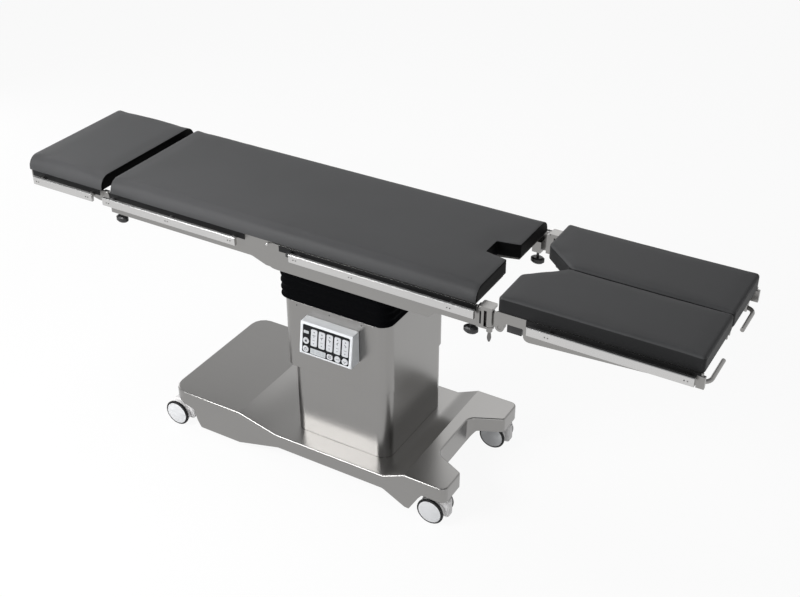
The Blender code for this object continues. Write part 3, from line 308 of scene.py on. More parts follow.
def between(tree, factor, low, high, span=(0.0, 1.0)):
    """Colour that runs from low to high as the factor crosses the span."""
    ramp = node(tree, "ShaderNodeValToRGB")
    ramp.color_ramp.elements[0].position = span[0]
    ramp.color_ramp.elements[1].position = span[1]
    ramp.color_ramp.elements[0].color = (*low, 1)
    ramp.color_ramp.elements[1].color = (*high, 1)
    tree.links.new(factor, ramp.inputs["Fac"])
    return ramp.outputs["Color"]


def reading(tree, factor, low, high, span=(0.0, 1.0)):
    """Value that runs from low to high as the factor crosses the span."""
    item = node(tree, "ShaderNodeMapRange")
    for key, value in (("From Min", span[0]), ("From Max", span[1]), ("To Min", low), ("To Max", high)):
        item.inputs[key].default_value = value
    tree.links.new(factor, item.inputs["Value"])
    return item.outputs["Result"]


def bumped(tree, shader, height, strength, distance):
    item = node(tree, "ShaderNodeBump", Strength=strength, Distance=distance)
    tree.links.new(height, item.inputs["Height"])
    tree.links.new(item.outputs["Normal"], shader.inputs["Normal"])


def tinted(colour, factor):
    return tuple(min(1.0, c * factor) for c in colour)


def brushed_steel(name, colour, roughness=0.28, along="X", streak=0.008, cloud=0.015):
    """Stainless sheet with fine brush lines along one axis, faint clouding and wear."""
    material, tree, shader = finish_nodes(name)
    scale = [BRUSH_ALONG if axis == along else BRUSH_ACROSS for axis in "XYZ"]
    lines = noise(tree, place_in_piece(tree, scale), 1.0, 3.0, 0.5)
    clouds = noise(tree, place_in_piece(tree), 5.0, 2.0, 0.4)
    fine = between(tree, lines, tinted(colour, 1 - streak), tinted(colour, 1 + streak), MOST)
    soft = between(tree, clouds, (1 - cloud,) * 3, (1 + cloud,) * 3, MOST)
    mix = node(tree, "ShaderNodeMix", data_type="RGBA", blend_type="MULTIPLY")
    mix.inputs["Factor"].default_value = 1.0
    tree.links.new(fine, mix.inputs["A"])
    tree.links.new(soft, mix.inputs["B"])
    tree.links.new(mix.outputs["Result"], shader.inputs["Base Color"])
    shader.inputs["Metallic"].default_value = 1.0
    tree.links.new(reading(tree, lines, roughness - 0.006, roughness + 0.006, MOST), shader.inputs["Roughness"])
    bumped(tree, shader, lines, 0.003, 0.0001)
    return material


def upholstery(name, worn, plain, gloss=0.15):
    """Matt coated fabric with a fine pebble grain and a slight sheen."""
    material, tree, shader = finish_nodes(name)
    where = place_in_piece(tree)
    pebbles = node(tree, "ShaderNodeTexVoronoi", feature="SMOOTH_F1", Scale=620.0)
    tree.links.new(where, pebbles.inputs["Vector"])
    wear = noise(tree, where, 3.5, 3.0, 0.5)
    tree.links.new(between(tree, wear, worn, plain, (0.30, 0.62)), shader.inputs["Base Color"])
    tree.links.new(reading(tree, wear, 0.50, 0.58, MOST), shader.inputs["Roughness"])
    shader.inputs["Specular IOR Level"].default_value = gloss
    shader.inputs["Sheen Weight"].default_value = gloss / 5
    shader.inputs["Sheen Roughness"].default_value = 0.45
    bumped(tree, shader, pebbles.outputs["Distance"], 0.18, 0.0004)
    return material


def moulded(name, colour, roughness, grain=900.0, relief=0.04, shift=0.04, gloss=0.5):
    """Moulded plastic or paint with a fine texture and slight unevenness."""
    material, tree, shader = finish_nodes(name)
    where = place_in_piece(tree)
    tone = noise(tree, where, 14.0, 2.0, 0.4)
    fine = noise(tree, where, grain, 2.0, 0.5)
    tree.links.new(between(tree, tone, tinted(colour, 1 - shift), tinted(colour, 1 + shift), MOST),
                   shader.inputs["Base Color"])
    tree.links.new(reading(tree, tone, roughness - 0.04, roughness + 0.04, MOST), shader.inputs["Roughness"])
    shader.inputs["Specular IOR Level"].default_value = gloss
    bumped(tree, shader, fine, relief, 0.0002)
    return material


def laminate(name):
    """Dark phenolic sheet with fine flecks."""
    material, tree, shader = finish_nodes(name)
    flecks = noise(tree, place_in_piece(tree), 260.0, 4.0, 0.7)
    colour = between(tree, flecks, LAMINATE_DARK, LAMINATE_PALE, (0.42, 0.68))
    tree.links.new(colour, shader.inputs["Base Color"])
    shader.inputs["Roughness"].default_value = 0.42
    bumped(tree, shader, flecks, 0.03, 0.0002)
    return material


FINISH = {
    "shell": brushed_steel("brushed_shell_steel", STEEL_SHELL, 0.28, "X"),
    "sleeve": brushed_steel("brushed_column_steel", STEEL_SHELL, 0.28, "Z"),
    "frame": brushed_steel("satin_frame_steel", STEEL_FRAME, 0.30, "X"),
    "rail": brushed_steel("polished_rail_steel", STEEL_RAIL, 0.26, "X"),
    "machined": brushed_steel("machined_steel", STEEL_FRAME, 0.25, "Z"),
    "dark_steel": brushed_steel("dark_steel", STEEL_DARK, 0.35, "Z"),
    "pad": upholstery("pad_upholstery", PAD_GRAIN, PAD_TOP),
    # painted shade: darker copy of the upholstery on the pads' end faces and notch walls
    "pad_end_shade": upholstery("pad_end_painted_shade", PAD_END_SHADE_GRAIN, PAD_END_SHADE, 0.04),
    # painted shade: darker copy of the upholstery on the leg pads' sides
    "pad_side_shade": upholstery("pad_side_painted_shade", PAD_SIDE_SHADE_GRAIN, PAD_SIDE_SHADE, 0.20),
    # painted shade: black strips in the gap behind the rails and in the clamp's slot
    "gap_shade": moulded("painted_gap_shade", GAP_SHADE_BLACK, 0.60, 700.0, 0.04, 0.08, 0.2),
    "rubber": moulded("bellows_rubber", RUBBER, 0.80, 500.0, 0.05, 0.10, 0.02),
    "housing": moulded("panel_housing_plastic", HOUSING, 0.36, 1100.0, 0.03, 0.02),
    "disc": moulded("wheel_disc_plastic", DISC_WHITE, 0.38, 900.0, 0.02, 0.02),
    "tyre": moulded("wheel_tyre_rubber", TYRE_BLACK, 0.60, 700.0, 0.06, 0.12, 0.3),
    "hood": moulded("caster_hood_plastic", HOOD_PALE, 0.42, 900.0, 0.03, 0.03),
    "key": moulded("key_cap_plastic", KEY_PALE, 0.45, 1500.0, 0.02, 0.02),
    "membrane": moulded("membrane_film", MEMBRANE, 0.42, 1500.0, 0.02, 0.05, 0.2),
    "screen": moulded("display_window", SCREEN, 0.20, 2000.0, 0.01, 0.02),
    "ink": moulded("printed_mark", INK, 0.50, 1500.0, 0.02, 0.05),
    "laminate": laminate("panel_laminate"),
    "knob": moulded("black_knob_plastic", KNOB_BLACK, 0.38, 900.0, 0.04, 0.08),
    "paint": moulded("dark_coating", COATING, 0.55, 400.0, 0.10, 0.10),
}


def dress(finish, *names):
    """Put a finish on CAD nodes that stay."""
    for name in names:
        mesh = frame["nodes"][name].data
        mesh.materials.clear()
        mesh.materials.append(FINISH[finish])


# Camera, floor and light

CAMERA_PLACE = (1.610, -2.570, 2.443)
CAMERA_TURN = (radians(57.83), 0, radians(30.18))
CAMERA_SENSOR, CAMERA_LENS = 36.0, 54.35
CAMERA_REACH = 200.0
FLOOR_SIZE = 60
FLOOR_PAPER = (0.86, 0.86, 0.86, 1)
FLOOR_GLOW = 0.93                # how white the floor is to the camera and in reflections
SKY_GLOW, SKY_SEEN = 0.28, 0.95  # the sky's strength as light, and as seen or reflected
SKY_LOW, SKY_HIGH = (0.95, 0.95, 0.95), (0.42, 0.43, 0.44)
SKY_SPAN = (0.35, 0.85)
SKY_LEAN = -0.25                 # makes the sky paler behind the table
LAMPS = {                        # place, aim, size in metres, power in watts
    "key_softbox": ((-1.32, -2.15, 2.05), (0, 0, 0.2), (1.4, 1.0), 80),
    "back_softbox": ((-0.55, 2.6, 2.3), (0.1, 0, 0.2), (1.5, 1.3), 6),
    "top_softbox": ((-1.5, 0.3, 3.1), (-0.3, 0, 0.4), (1.6, 1.2), 26),
    "fill_softbox": ((2.3, -2.5, 0.9), (0.2, 0, 0.2), (1.2, 0.9), 12),
    "head_end_strip": ((-3.2, 0.9, 1.1), (-0.1, 0, 0.3), (0.5, 1.8), 12),
}


def make_camera():
    clear_selection()
    bpy.ops.object.camera_add(location=CAMERA_PLACE, rotation=CAMERA_TURN)
    camera = bpy.context.object
    camera.name = "camera"
    camera.data.sensor_width = CAMERA_SENSOR
    camera.data.lens = CAMERA_LENS
    camera.data.clip_end = CAMERA_REACH
    bpy.context.scene.camera = camera


def seen_by_eye_or_gloss(tree):
    """1 for camera, glossy and transmission rays."""
    rays = node(tree, "ShaderNodeLightPath")
    first = node(tree, "ShaderNodeMath", operation="MAXIMUM")
    tree.links.new(rays.outputs["Is Camera Ray"], first.inputs[0])
    tree.links.new(rays.outputs["Is Glossy Ray"], first.inputs[1])
    second = node(tree, "ShaderNodeMath", operation="MAXIMUM")
    tree.links.new(first.outputs[0], second.inputs[0])
    tree.links.new(rays.outputs["Is Transmission Ray"], second.inputs[1])
    return second.outputs[0]


def make_floor():
    clear_selection()
    bpy.ops.mesh.primitive_plane_add(size=FLOOR_SIZE, location=(0, 0, 0))
    floor = added("studio_floor")
    material, tree, shader = finish_nodes("studio_floor_paper")
    shader.inputs["Base Color"].default_value = FLOOR_PAPER
    shader.inputs["Roughness"].default_value = 0.9
    shader.inputs["Specular IOR Level"].default_value = 0.0
    glow = node(tree, "ShaderNodeEmission", Strength=1.0)
    glow.inputs["Color"].default_value = (1, 1, 1, 1)
    share = node(tree, "ShaderNodeMath", operation="MULTIPLY")
    tree.links.new(seen_by_eye_or_gloss(tree), share.inputs[0])
    share.inputs[1].default_value = FLOOR_GLOW
    mix = node(tree, "ShaderNodeMixShader")
    tree.links.new(share.outputs[0], mix.inputs["Fac"])
    tree.links.new(shader.outputs["BSDF"], mix.inputs[1])
    tree.links.new(glow.outputs["Emission"], mix.inputs[2])
    tree.links.new(mix.outputs["Shader"], tree.nodes["Material Output"].inputs["Surface"])
    floor.data.materials.append(material)


def make_world():
    world = bpy.context.scene.world or bpy.data.worlds.new("studio")
    bpy.context.scene.world = world
    world.use_nodes = True
    tree = world.node_tree
    ground = tree.nodes["Background"]
    where = node(tree, "ShaderNodeTexCoord")
    parts = node(tree, "ShaderNodeSeparateXYZ")
    tree.links.new(where.outputs["Generated"], parts.inputs["Vector"])
    tall = node(tree, "ShaderNodeMath", operation="MULTIPLY_ADD")
    tree.links.new(parts.outputs["Y"], tall.inputs[0])
    tall.inputs[1].default_value = SKY_LEAN
    tree.links.new(parts.outputs["Z"], tall.inputs[2])
    sky = between(tree, reading(tree, tall.outputs[0], 0.0, 1.0), SKY_LOW, SKY_HIGH, SKY_SPAN)
    tree.links.new(sky, ground.inputs["Color"])
    strength = reading(tree, seen_by_eye_or_gloss(tree), SKY_GLOW, SKY_SEEN)
    tree.links.new(strength, ground.inputs["Strength"])


def lamp(name, place, aim, size, power):
    clear_selection()
    bpy.ops.object.light_add(type="AREA", location=place)
    light = bpy.context.object
    light.name = name
    light.data.shape = "RECTANGLE"
    light.data.size, light.data.size_y = size
    light.data.energy = power
    light.rotation_euler = (Vector(aim) - Vector(place)).to_track_quat("-Z", "Y").to_euler()


def make_lights():
    for name, settings in LAMPS.items():
        lamp(name, *settings)


# Upholstery

PAD_SHRINK = 0.0015              # how much smaller the cut foam is than the finished pad
PAD_ROLL, PAD_ROLL_STEPS = 0.035, 9
PAD_SEAM = 0.0018
PAD_SWELL, LEG_SWELL = 0.004, 0.0025     # the most that stuffing moves a point
PAD_PITCH = (0.013, 0.013, 0.011)
STUFFING = {"use_pressure": True, "uniform_pressure_force": 3.0, "tension_stiffness": 40,
            "compression_stiffness": 40, "bending_stiffness": 2.0, "quality": 4}
SETTLE_FRAMES = 16
END_SHARE, END_REACH, SEAT_REACH = 0.15, 0.05, 0.020     # how the swelling fades at the ends and the seat
NOTCH_DEEP, NOTCH_HALF, NOTCH_MOUTH_HALF = 0.063, 0.049, 0.032
NOTCH_REACH = 0.06               # end faces nearer the middle than this line the notch
TOOL_SPARE = 0.01
LEG_SIDE_ROOM, LEG_TOP_ROOM = 0.0004, 0.001
WEDGE_TIP_X, WEDGE_MOUTH_X, WEDGE_MOUTH_Y = 0.631, 0.530, 0.090
LEG_CORNER, LEG_RIM = 0.010, 0.009
SAME = 1e-4


def roll_long_edges(obj, low, high):
    """Round the long upper edges of a pad that lies along X."""
    edit(obj, "EDGE")

    def upper_side(item):
        a, b = (v.co for v in item.verts)
        return (abs(a.z - high.z) < SAME and abs(b.z - high.z) < SAME
                and abs(abs(a.y) - abs(low.y)) < SAME and abs(a.y - b.y) < SAME)

    select_edges(obj, upper_side)
    bpy.ops.mesh.bevel(offset=PAD_ROLL, segments=PAD_ROLL_STEPS, profile=0.5, affect="EDGES")
    done()


def gridded(obj, low, high):
    """Cut a pad right across at a regular pitch along every axis."""
    edit(obj)
    for axis in range(3):
        steps = max(1, round((high[axis] - low[axis]) / PAD_PITCH[axis]))
        normal = Vector([float(k == axis) for k in range(3)])
        for k in range(1, steps):
            place = low + normal * ((high[axis] - low[axis]) * k / steps)
            bpy.ops.mesh.select_all(action="SELECT")
            bpy.ops.mesh.bisect(plane_co=place, plane_no=normal)
    done()


def stuffed(obj, low, high, cap):
    """Grid a pad, blow it up as cloth and keep the swelling small, least at its flat ends and seat."""
    gridded(obj, low, high)
    rest = [v.co.copy() for v in obj.data.vertices]
    pick(obj)
    cloth = obj.modifiers.new("cloth", "CLOTH")
    cloth.settings.effector_weights.gravity = 0.0
    for key, value in STUFFING.items():
        setattr(cloth.settings, key, value)
    scene = bpy.context.scene
    for step in range(1, SETTLE_FRAMES + 1):
        scene.frame_set(step)
    bpy.ops.object.modifier_apply(modifier="cloth")
    scene.frame_set(1)
    for vertex, home in zip(obj.data.vertices, rest):
        move = vertex.co - home
        inward = min(home.x - low.x, high.x - home.x)
        share = min(1.0, END_SHARE + max(0.0, inward) / END_REACH)
        share *= min(1.0, max(0.0, (home.z - low.z) / SEAT_REACH))
        vertex.co = home + move * (share * cap / (move.length + cap))
    smooth(obj, 40)
    return obj


def slab_over(name, nodes):
    """Block over the box of one or more pads, a little smaller all round."""
    corners = [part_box(n) for n in nodes]
    low = Vector([min(c[0][k] for c in corners) for k in range(3)])
    high = Vector([max(c[1][k] for c in corners) for k in range(3)])
    low += Vector((0, PAD_SHRINK, 0))
    high -= Vector((0, PAD_SHRINK, PAD_SHRINK))
    return block(name, low, high), low, high


def refinished(obj, finish, wanted):
    """Another finish on the faces for which wanted(centre, normal) holds."""
    obj.data.materials.append(FINISH[finish])
    obj.active_material_index = 1
    edit(obj)
    select_faces(obj, wanted)
    bpy.ops.object.material_slot_assign()
    done()


def make_head_cushion():
    obj, low, high = slab_over("head_cushion", ["head_pad"])
    roll_long_edges(obj, low, high)
    rounded_edges(obj, PAD_SEAM, least=60)
    stuffed(obj, low, high, PAD_SWELL)
    settled(obj, "head", FINISH["pad"])
    # painted shade on the end faces
    refinished(obj, "pad_end_shade", lambda c, n: abs(n.z) < 0.6 and abs(n.x) > 0.5)
    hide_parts("head_pad")


def make_main_cushion():
    """One cushion over the back, the fold and the seat, notched at the leg end."""
    obj, low, high = slab_over("back_and_seat_cushion", ["back_pad", "pad_fold", "seat_pad"])
    roll_long_edges(obj, low, high)
    wedge = block("notch_tool", (high.x - NOTCH_DEEP, -NOTCH_HALF, low.z - TOOL_SPARE),
                  (high.x + 2 * TOOL_SPARE, NOTCH_HALF, high.z + TOOL_SPARE))
    edit(wedge, "VERT")
    shape = bmesh.from_edit_mesh(wedge.data)
    for vertex in shape.verts:
        vertex.select_set(vertex.co.x < high.x)
    shape.select_flush_mode()
    bmesh.update_edit_mesh(wedge.data)
    bpy.ops.transform.resize(value=(1, NOTCH_MOUTH_HALF / NOTCH_HALF, 1),
                             center_override=(high.x - NOTCH_DEEP, 0, high.z))
    done()
    apply_modifier(obj, "BOOLEAN", operation="DIFFERENCE", object=wedge, solver="EXACT")
    bpy.data.objects.remove(wedge)
    rounded_edges(obj, PAD_SEAM, least=60)
    stuffed(obj, low, high, PAD_SWELL)
    obj.data.materials.clear()
    obj.data.materials.append(FINISH["pad"])
    # painted shade on the end faces and the notch walls
    refinished(obj, "pad_end_shade", lambda c, n: abs(n.z) < 0.6 and (abs(n.x) > 0.5 or abs(c.y) < NOTCH_REACH))
    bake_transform(obj)
    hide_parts("back_pad", "pad_fold", "seat_pad")


def make_leg_cushion(side_name):
    """Pad of one leg section, with its inner corner cut off beside the seat's notch."""
    side = SIDES[side_name]
    low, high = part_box(f"leg_pad_{side_name}")
    low, high = low + Vector((0, LEG_SIDE_ROOM, 0)), high - Vector((0, LEG_SIDE_ROOM, LEG_TOP_ROOM))
    obj = block(f"leg_cushion_{side_name}", low, high)
    edit(obj)
    bpy.ops.mesh.select_all(action="SELECT")
    tip, mouth = Vector((WEDGE_TIP_X, 0, 0)), Vector((WEDGE_MOUTH_X, side * WEDGE_MOUTH_Y, 0))
    along = (mouth - tip).normalized()
    outward = Vector((-along.y, along.x, 0)) * (-side)
    bpy.ops.mesh.bisect(plane_co=tip, plane_no=outward, use_fill=True, clear_outer=outward.x < 0,
                        clear_inner=outward.x >= 0)
    done()
    edit(obj, "EDGE")
    select_edges(obj, lambda e: abs(e.verts[0].co.z - e.verts[1].co.z) > 0.01)
    bpy.ops.mesh.bevel(offset=LEG_CORNER, segments=4, profile=0.5, affect="EDGES")
    select_edges(obj, lambda e: min(v.co.z for v in e.verts) > high.z - 0.001 and fold_angle(e) > radians(60))
    bpy.ops.mesh.bevel(offset=LEG_RIM, segments=4, profile=0.5, affect="EDGES", clamp_overlap=True)
    done()
    stuffed(obj, low, high, LEG_SWELL)
    settled(obj, f"leg_{side_name}", FINISH["pad"])
    # painted shade on the side and end faces
    refinished(obj, "pad_side_shade", lambda c, n: abs(n.z) < 0.45)
    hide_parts(f"leg_pad_{side_name}")


# Casters

LYING = (pi / 2, 0, 0)           # turns a disc's axis from Z to Y
TREAD, TREAD_INSET, TREAD_ROUND = 0.009, 0.0005, 0.0034
PLATE_THICK, PLATE_STEP, PLATE_ROUND = 0.004, 0.0062, 0.0007
DRUM_STEP, DRUM_ROUND = 0.0035, 0.0015
WHEEL_INNER = 0.0160             # from the caster's middle to a wheel's inner face
AXLE_R, AXLE_SPARE = 0.006, 0.004


def make_wheels(end, side_name):
    """Pair of disc wheels with tyres on one axle, in place of the plain solid."""
    name = f"caster_wheels_{end}_{side_name}"
    low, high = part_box(name)
    centre = (low + high) / 2
    radius, face = (high.z - low.z) / 2, (high.y - low.y) / 2
    depth = face - TREAD - WHEEL_INNER
    layers = (("tyre", radius, TREAD, face - TREAD_INSET - TREAD / 2, TREAD_ROUND, 4, "tyre"),
              ("plate", radius - PLATE_STEP, PLATE_THICK, face - PLATE_THICK / 2, PLATE_ROUND, 2, "disc"),
              ("drum", radius - DRUM_STEP, depth, WHEEL_INNER + depth / 2, DRUM_ROUND, 2, "hood"))
    parts = []
    for way in (-1, 1):
        for layer, size, thick, out, edge, segments, finish in layers:
            part = disc(f"{layer}_{way}", size, thick, centre + Vector((0, way * out, 0)), LYING, 64)
            rounded_edges(part, edge, segments, 60)
            part.data.materials.append(FINISH[finish])
            parts.append(part)
    axle = disc("axle", AXLE_R, 2 * WHEEL_INNER + AXLE_SPARE, centre, LYING, 24)
    axle.data.materials.append(FINISH["machined"])
    wheels = joined(f"wheel_pair_{end}_{side_name}", parts + [axle])
    smooth(wheels, 35)
    settled(wheels, body_with(name))
    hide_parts(name)


def make_hood(end, side_name):
    name = f"caster_hood_{end}_{side_name}"
    hood = dressed_copy(name, f"hood_{end}_{side_name}", *SOFTENED["hood"])
    settled(hood, body_with(name), FINISH["hood"])


# Bellows

BELLOWS_GROW = (0.009, 0.013)    # how far the folds stand out from the sleeve, along X and Y
BELLOWS_CORNER = 0.040
BELLOWS_MEET = 0.040             # how far above the tilt axis the two skirts meet
FOLD_DEPTH, FOLD_ROUND = 0.0045, 0.0026
RUBBER_THICK = 0.0016


def make_bellows(name, node_name, folds, fixed_low):
    """Folded rubber skirt: a rounded outline extruded up through its folds, then thickened.

    The lower skirt is fixed low and reaches above the tilt axis, so that its free rim clears the sleeve's rim.
    """
    low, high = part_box(node_name)
    if fixed_low:
        high.z += BELLOWS_MEET
    else:
        low.z += BELLOWS_MEET
    centre = (low + high) / 2
    wide = ((high.x - low.x) / 2, (high.y - low.y) / 2)
    valley = tuple(half - FOLD_DEPTH for half in wide)
    rings = [tuple(half - grow for half, grow in zip(wide, BELLOWS_GROW))]
    rings += [wide if k % 2 else valley for k in range(1, 2 * folds + 1)]
    if not fixed_low:
        rings.reverse()
    clear_selection()
    bpy.ops.mesh.primitive_plane_add(size=1, location=(centre.x, centre.y, low.z))
    obj = added(name)
    obj.scale = (2 * rings[0][0], 2 * rings[0][1], 1)
    bpy.ops.object.transform_apply(location=True, rotation=True, scale=True)
    bpy.ops.object.mode_set(mode="EDIT")
    bpy.ops.mesh.select_mode(type="VERT")
    bpy.ops.mesh.select_all(action="SELECT")
    bpy.ops.mesh.bevel(offset=BELLOWS_CORNER, segments=8, profile=0.5, affect="VERTICES")
    bpy.ops.mesh.select_mode(type="EDGE")
    bpy.ops.mesh.select_all(action="SELECT")
    bpy.ops.mesh.delete(type="ONLY_FACE")
    bpy.ops.mesh.select_all(action="SELECT")
    rise = (high.z - low.z) / (2 * folds)
    for step, (before, after) in enumerate(zip(rings, rings[1:]), 1):
        bpy.ops.mesh.extrude_region_move(TRANSFORM_OT_translate={"value": (0, 0, rise)})
        bpy.ops.transform.resize(value=(after[0] / before[0], after[1] / before[1], 1),
                                 center_override=(centre.x, centre.y, low.z + rise * step))
    bpy.ops.mesh.select_all(action="SELECT")
    bpy.ops.mesh.normals_make_consistent(inside=False)
    bends = select_edges(obj, lambda e: fold_angle(e) > radians(30) and len(e.link_faces) == 2
                         and abs(e.verts[0].co.z - e.verts[1].co.z) < 1e-6)
    if bends:
        bpy.ops.mesh.bevel(offset=FOLD_ROUND, segments=3, profile=0.5, affect="EDGES")
    done()
    apply_modifier(obj, "SOLIDIFY", thickness=RUBBER_THICK, offset=-1.0)
    smooth(obj, 50)
    obj.data.materials.append(FINISH["rubber"])
    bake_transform(obj)
    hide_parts(node_name)


# Rails, screws and rivets

RAIL_FACE_Y, RAIL_MIDDLE_Z = 0.2500, 0.7715
RAIL_SCREWS = {"seat": (-0.074, 0.106, 0.404), "back": (-0.745, -0.522, -0.297), "head": (-1.027, -0.827),
               "leg": (0.678, 1.036)}
SCREW_R, SCREW_HIGH, SCREW_PROUD, SCREW_SHIFT = 0.0019, 0.0010, 0.0001, 0.0042
SOCKET_RIM, SOCKET_DRAFT, SOCKET_DEEP = 0.0006, 0.0002, 0.0006
# the black strips behind the rails are painted shade of the gap between rail and pad
GAP_SHADE_THICK, GAP_SHADE_ROUND, GAP_SHADE_Z = 0.0013, 0.0004, (0.7690, 0.7876)
RAIL_GAP_SHADES = {"head": (-1.074, -0.802, 0.2187), "back": (-0.763, -0.264, 0.2187),
              "seat": (-0.142, 0.474, 0.2252), "leg": (0.612, 1.064, 0.2252)}
SIDE_PARTS = (                   # name, section, finish, spans along X, outwards and along Z, rounding
    ("seat_rail_stop", "seat", "knob", (-0.1040, -0.0942), (0.2265, 0.2490), (0.7735, 0.7838), 0.0012),
    # the clamp's slot is a black block: painted shade of the slot's inside
    ("clamp_slot", "seat", "gap_shade", (0.4838, 0.4877), (0.2252, 0.2272), (0.7395, 0.7765), 0.0003),
    ("leg_joint_block", "leg", "knob", (0.5580, 0.6000), (0.2040, 0.2215), (0.7320, 0.7570), 0.0020),
)
DOME_R, DOME_FLAT, DOME_PLACE = 0.0042, 0.6, (-0.1836, 0.2250, 0.7790)
RIVETS_X = (-0.128, -0.016, 0.091)
RIVET_R, RIVET_FLAT, RIVET_DROP = 0.0022, 0.5, 0.0110


def section_body(section, side_name):
    return f"leg_{side_name}" if section == "leg" else section


def flat_ball(name, radius, flatness, place, segments):
    """Ball pressed flat along Y."""
    clear_selection()
    bpy.ops.mesh.primitive_uv_sphere_add(segments=segments, ring_count=segments // 2, radius=radius,
                                         location=place)
    ball = added(name)
    ball.scale = (1, flatness, 1)
    bpy.ops.object.transform_apply(location=True, rotation=True, scale=True)
    return ball


def make_screw_pair(name, place, side):
    """Two small socket screws side by side on a rail's outer face."""
    parts = []
    for shift in (-SCREW_SHIFT, SCREW_SHIFT):
        centre = Vector(place) + Vector((shift, side * SCREW_PROUD, 0))
        head = disc("screw", SCREW_R, SCREW_HIGH, centre, LYING, 12)
        edit(head)
        select_faces(head, lambda c, n: n.y * side > 0.9)
        bpy.ops.mesh.inset(thickness=SOCKET_RIM, depth=0.0)
        bpy.ops.mesh.inset(thickness=SOCKET_DRAFT, depth=-SOCKET_DEEP)
        done()
        parts.append(head)
    return joined(name, parts)


def make_rail_screws():
    for side_name, side in SIDES.items():
        for section, places in RAIL_SCREWS.items():
            pairs = [make_screw_pair(f"pair_{k}", (x, side * RAIL_FACE_Y, RAIL_MIDDLE_Z), side)
                     for k, x in enumerate(places)]
            screws = joined(f"{section}_rail_screws_{side_name}", pairs)
            smooth(screws, 35)
            settled(screws, section_body(section, side_name), FINISH["dark_steel"])


def side_block(name, x_span, y_span, z_span, side, width):
    """Block on one side of the table, between two distances from its middle, with soft edges."""
    low_y, high_y = sorted((side * y_span[0], side * y_span[1]))
    part = block(name, (x_span[0], low_y, z_span[0]), (x_span[1], high_y, z_span[1]))
    return rounded_edges(part, width, 2)


def make_rail_gap_shades():
    """Black strip behind each rail, painted shade of the gap between rail and pad, then the rail's stop, the
    leg joint's black parts and the hinge's dome.
    """
    for side_name, side in SIDES.items():
        for section, (start, end, face) in RAIL_GAP_SHADES.items():
            gap_shade = side_block(f"{section}_rail_gap_shade_{side_name}", (start, end), (face, face + GAP_SHADE_THICK),
                              GAP_SHADE_Z, side, GAP_SHADE_ROUND)
            settled(smooth(gap_shade), section_body(section, side_name), FINISH["gap_shade"])
        for name, section, finish, x_span, y_span, z_span, width in SIDE_PARTS:
            part = side_block(f"{name}_{side_name}", x_span, y_span, z_span, side, width)
            settled(smooth(part), section_body(section, side_name), FINISH[finish])
        x, y, z = DOME_PLACE
        dome = flat_ball(f"hinge_dome_{side_name}", DOME_R, DOME_FLAT, (x, side * y, z), 20)
        settled(smooth(dome, 60), "seat", FINISH["rail"])


def make_sleeve_rivets():
    """Three small dark rivets under the rim of the upper sleeve, on each long face."""
    low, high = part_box("upper_column_sleeve")
    for side_name, side in SIDES.items():
        y, z = side * (high.y - low.y) / 2, high.z - RIVET_DROP
        parts = [flat_ball("rivet", RIVET_R, RIVET_FLAT, (x, y, z), 16) for x in RIVETS_X]
        rivets = smooth(joined(f"sleeve_rivets_{side_name}", parts), 60)
        settled(rivets, "column_top", FINISH["paint"])


# Key panel

PANEL_CENTRE = Vector((-0.005, -0.2155, 0.4945))
PANEL_TILT = pi / 2 - radians(8.1)
PANEL_MATRIX = Matrix.Translation(PANEL_CENTRE) @ Matrix.Rotation(PANEL_TILT, 4, "X")
KEY_TOP = 0.0008
MARK_THICK, RING_FLATNESS = 0.00016, 0.12
PILL_V = 0.0098
DISPLAY_UV = (-0.025, -0.0340)
STOP_UV = (0.0158, -0.0335)
PILL_KEYS = {"button_lift": -0.040, "button_tilt": -0.0135, "button_lateral": 0.013, "button_back": 0.0395,
             "button_leg": 0.066}
PILL_TURNS = {"button_lift": 0.0, "button_tilt": 0.35, "button_lateral": -0.35, "button_back": 0.7,
              "button_leg": -0.7}
ROUND_KEYS = {"button_lock": (-0.067, -0.006), "button_power": (-0.067, -0.0325),
              "button_reverse": (0.0416, -0.0325), "button_level": (0.0668, -0.0325)}
DISPLAY_BARS = (                 # place from the window's middle, and length
    (-0.017, 0.0035, 0.010), (-0.017, 0.0000, 0.013), (-0.017, -0.0035, 0.008),
    (0.002, 0.0030, 0.012), (0.002, -0.0025, 0.016), (0.019, 0.0030, 0.007), (0.019, -0.0025, 0.009))
BAR_HIGH, BAR_SINK = 0.0011, 0.0003


def on_panel(u, v, w=KEY_TOP):
    return PANEL_MATRIX @ Vector((u, v, w))


def mark_bar(u, v, width, height, turn=0.0):
    """Flat printed bar on a key."""
    clear_selection()
    bpy.ops.mesh.primitive_cube_add(size=1, location=(0, 0, 0))
    bar = added("bar")
    bar.scale = (width, height, MARK_THICK)
    bpy.ops.object.transform_apply(location=False, rotation=False, scale=True)
    bar.rotation_euler = (0, 0, turn)
    bpy.ops.object.transform_apply(location=False, rotation=True, scale=False)
    return laid_on_panel(bar, u, v)


def mark_arrow(u, v, size, down=False):
    clear_selection()
    bpy.ops.mesh.primitive_cylinder_add(vertices=3, radius=size, depth=MARK_THICK)
    arrow = added("arrow")
    arrow.rotation_euler = (0, 0, pi if down else 0)
    bpy.ops.object.transform_apply(location=False, rotation=True, scale=False)
    return laid_on_panel(arrow, u, v)


def mark_ring(u, v, radius, thick):
    clear_selection()
    bpy.ops.mesh.primitive_torus_add(major_radius=radius, minor_radius=thick, major_segments=24,
                                     minor_segments=6)
    ring = added("ring")
    ring.scale = (1, 1, RING_FLATNESS)
    bpy.ops.object.transform_apply(location=False, rotation=False, scale=True)
    return laid_on_panel(ring, u, v)


def laid_on_panel(obj, u, v):
    obj.rotation_euler = (PANEL_TILT, 0, 0)
    obj.location = on_panel(u, v)
    pick(obj)
    bpy.ops.object.transform_apply(location=True, rotation=True, scale=True)
    return obj


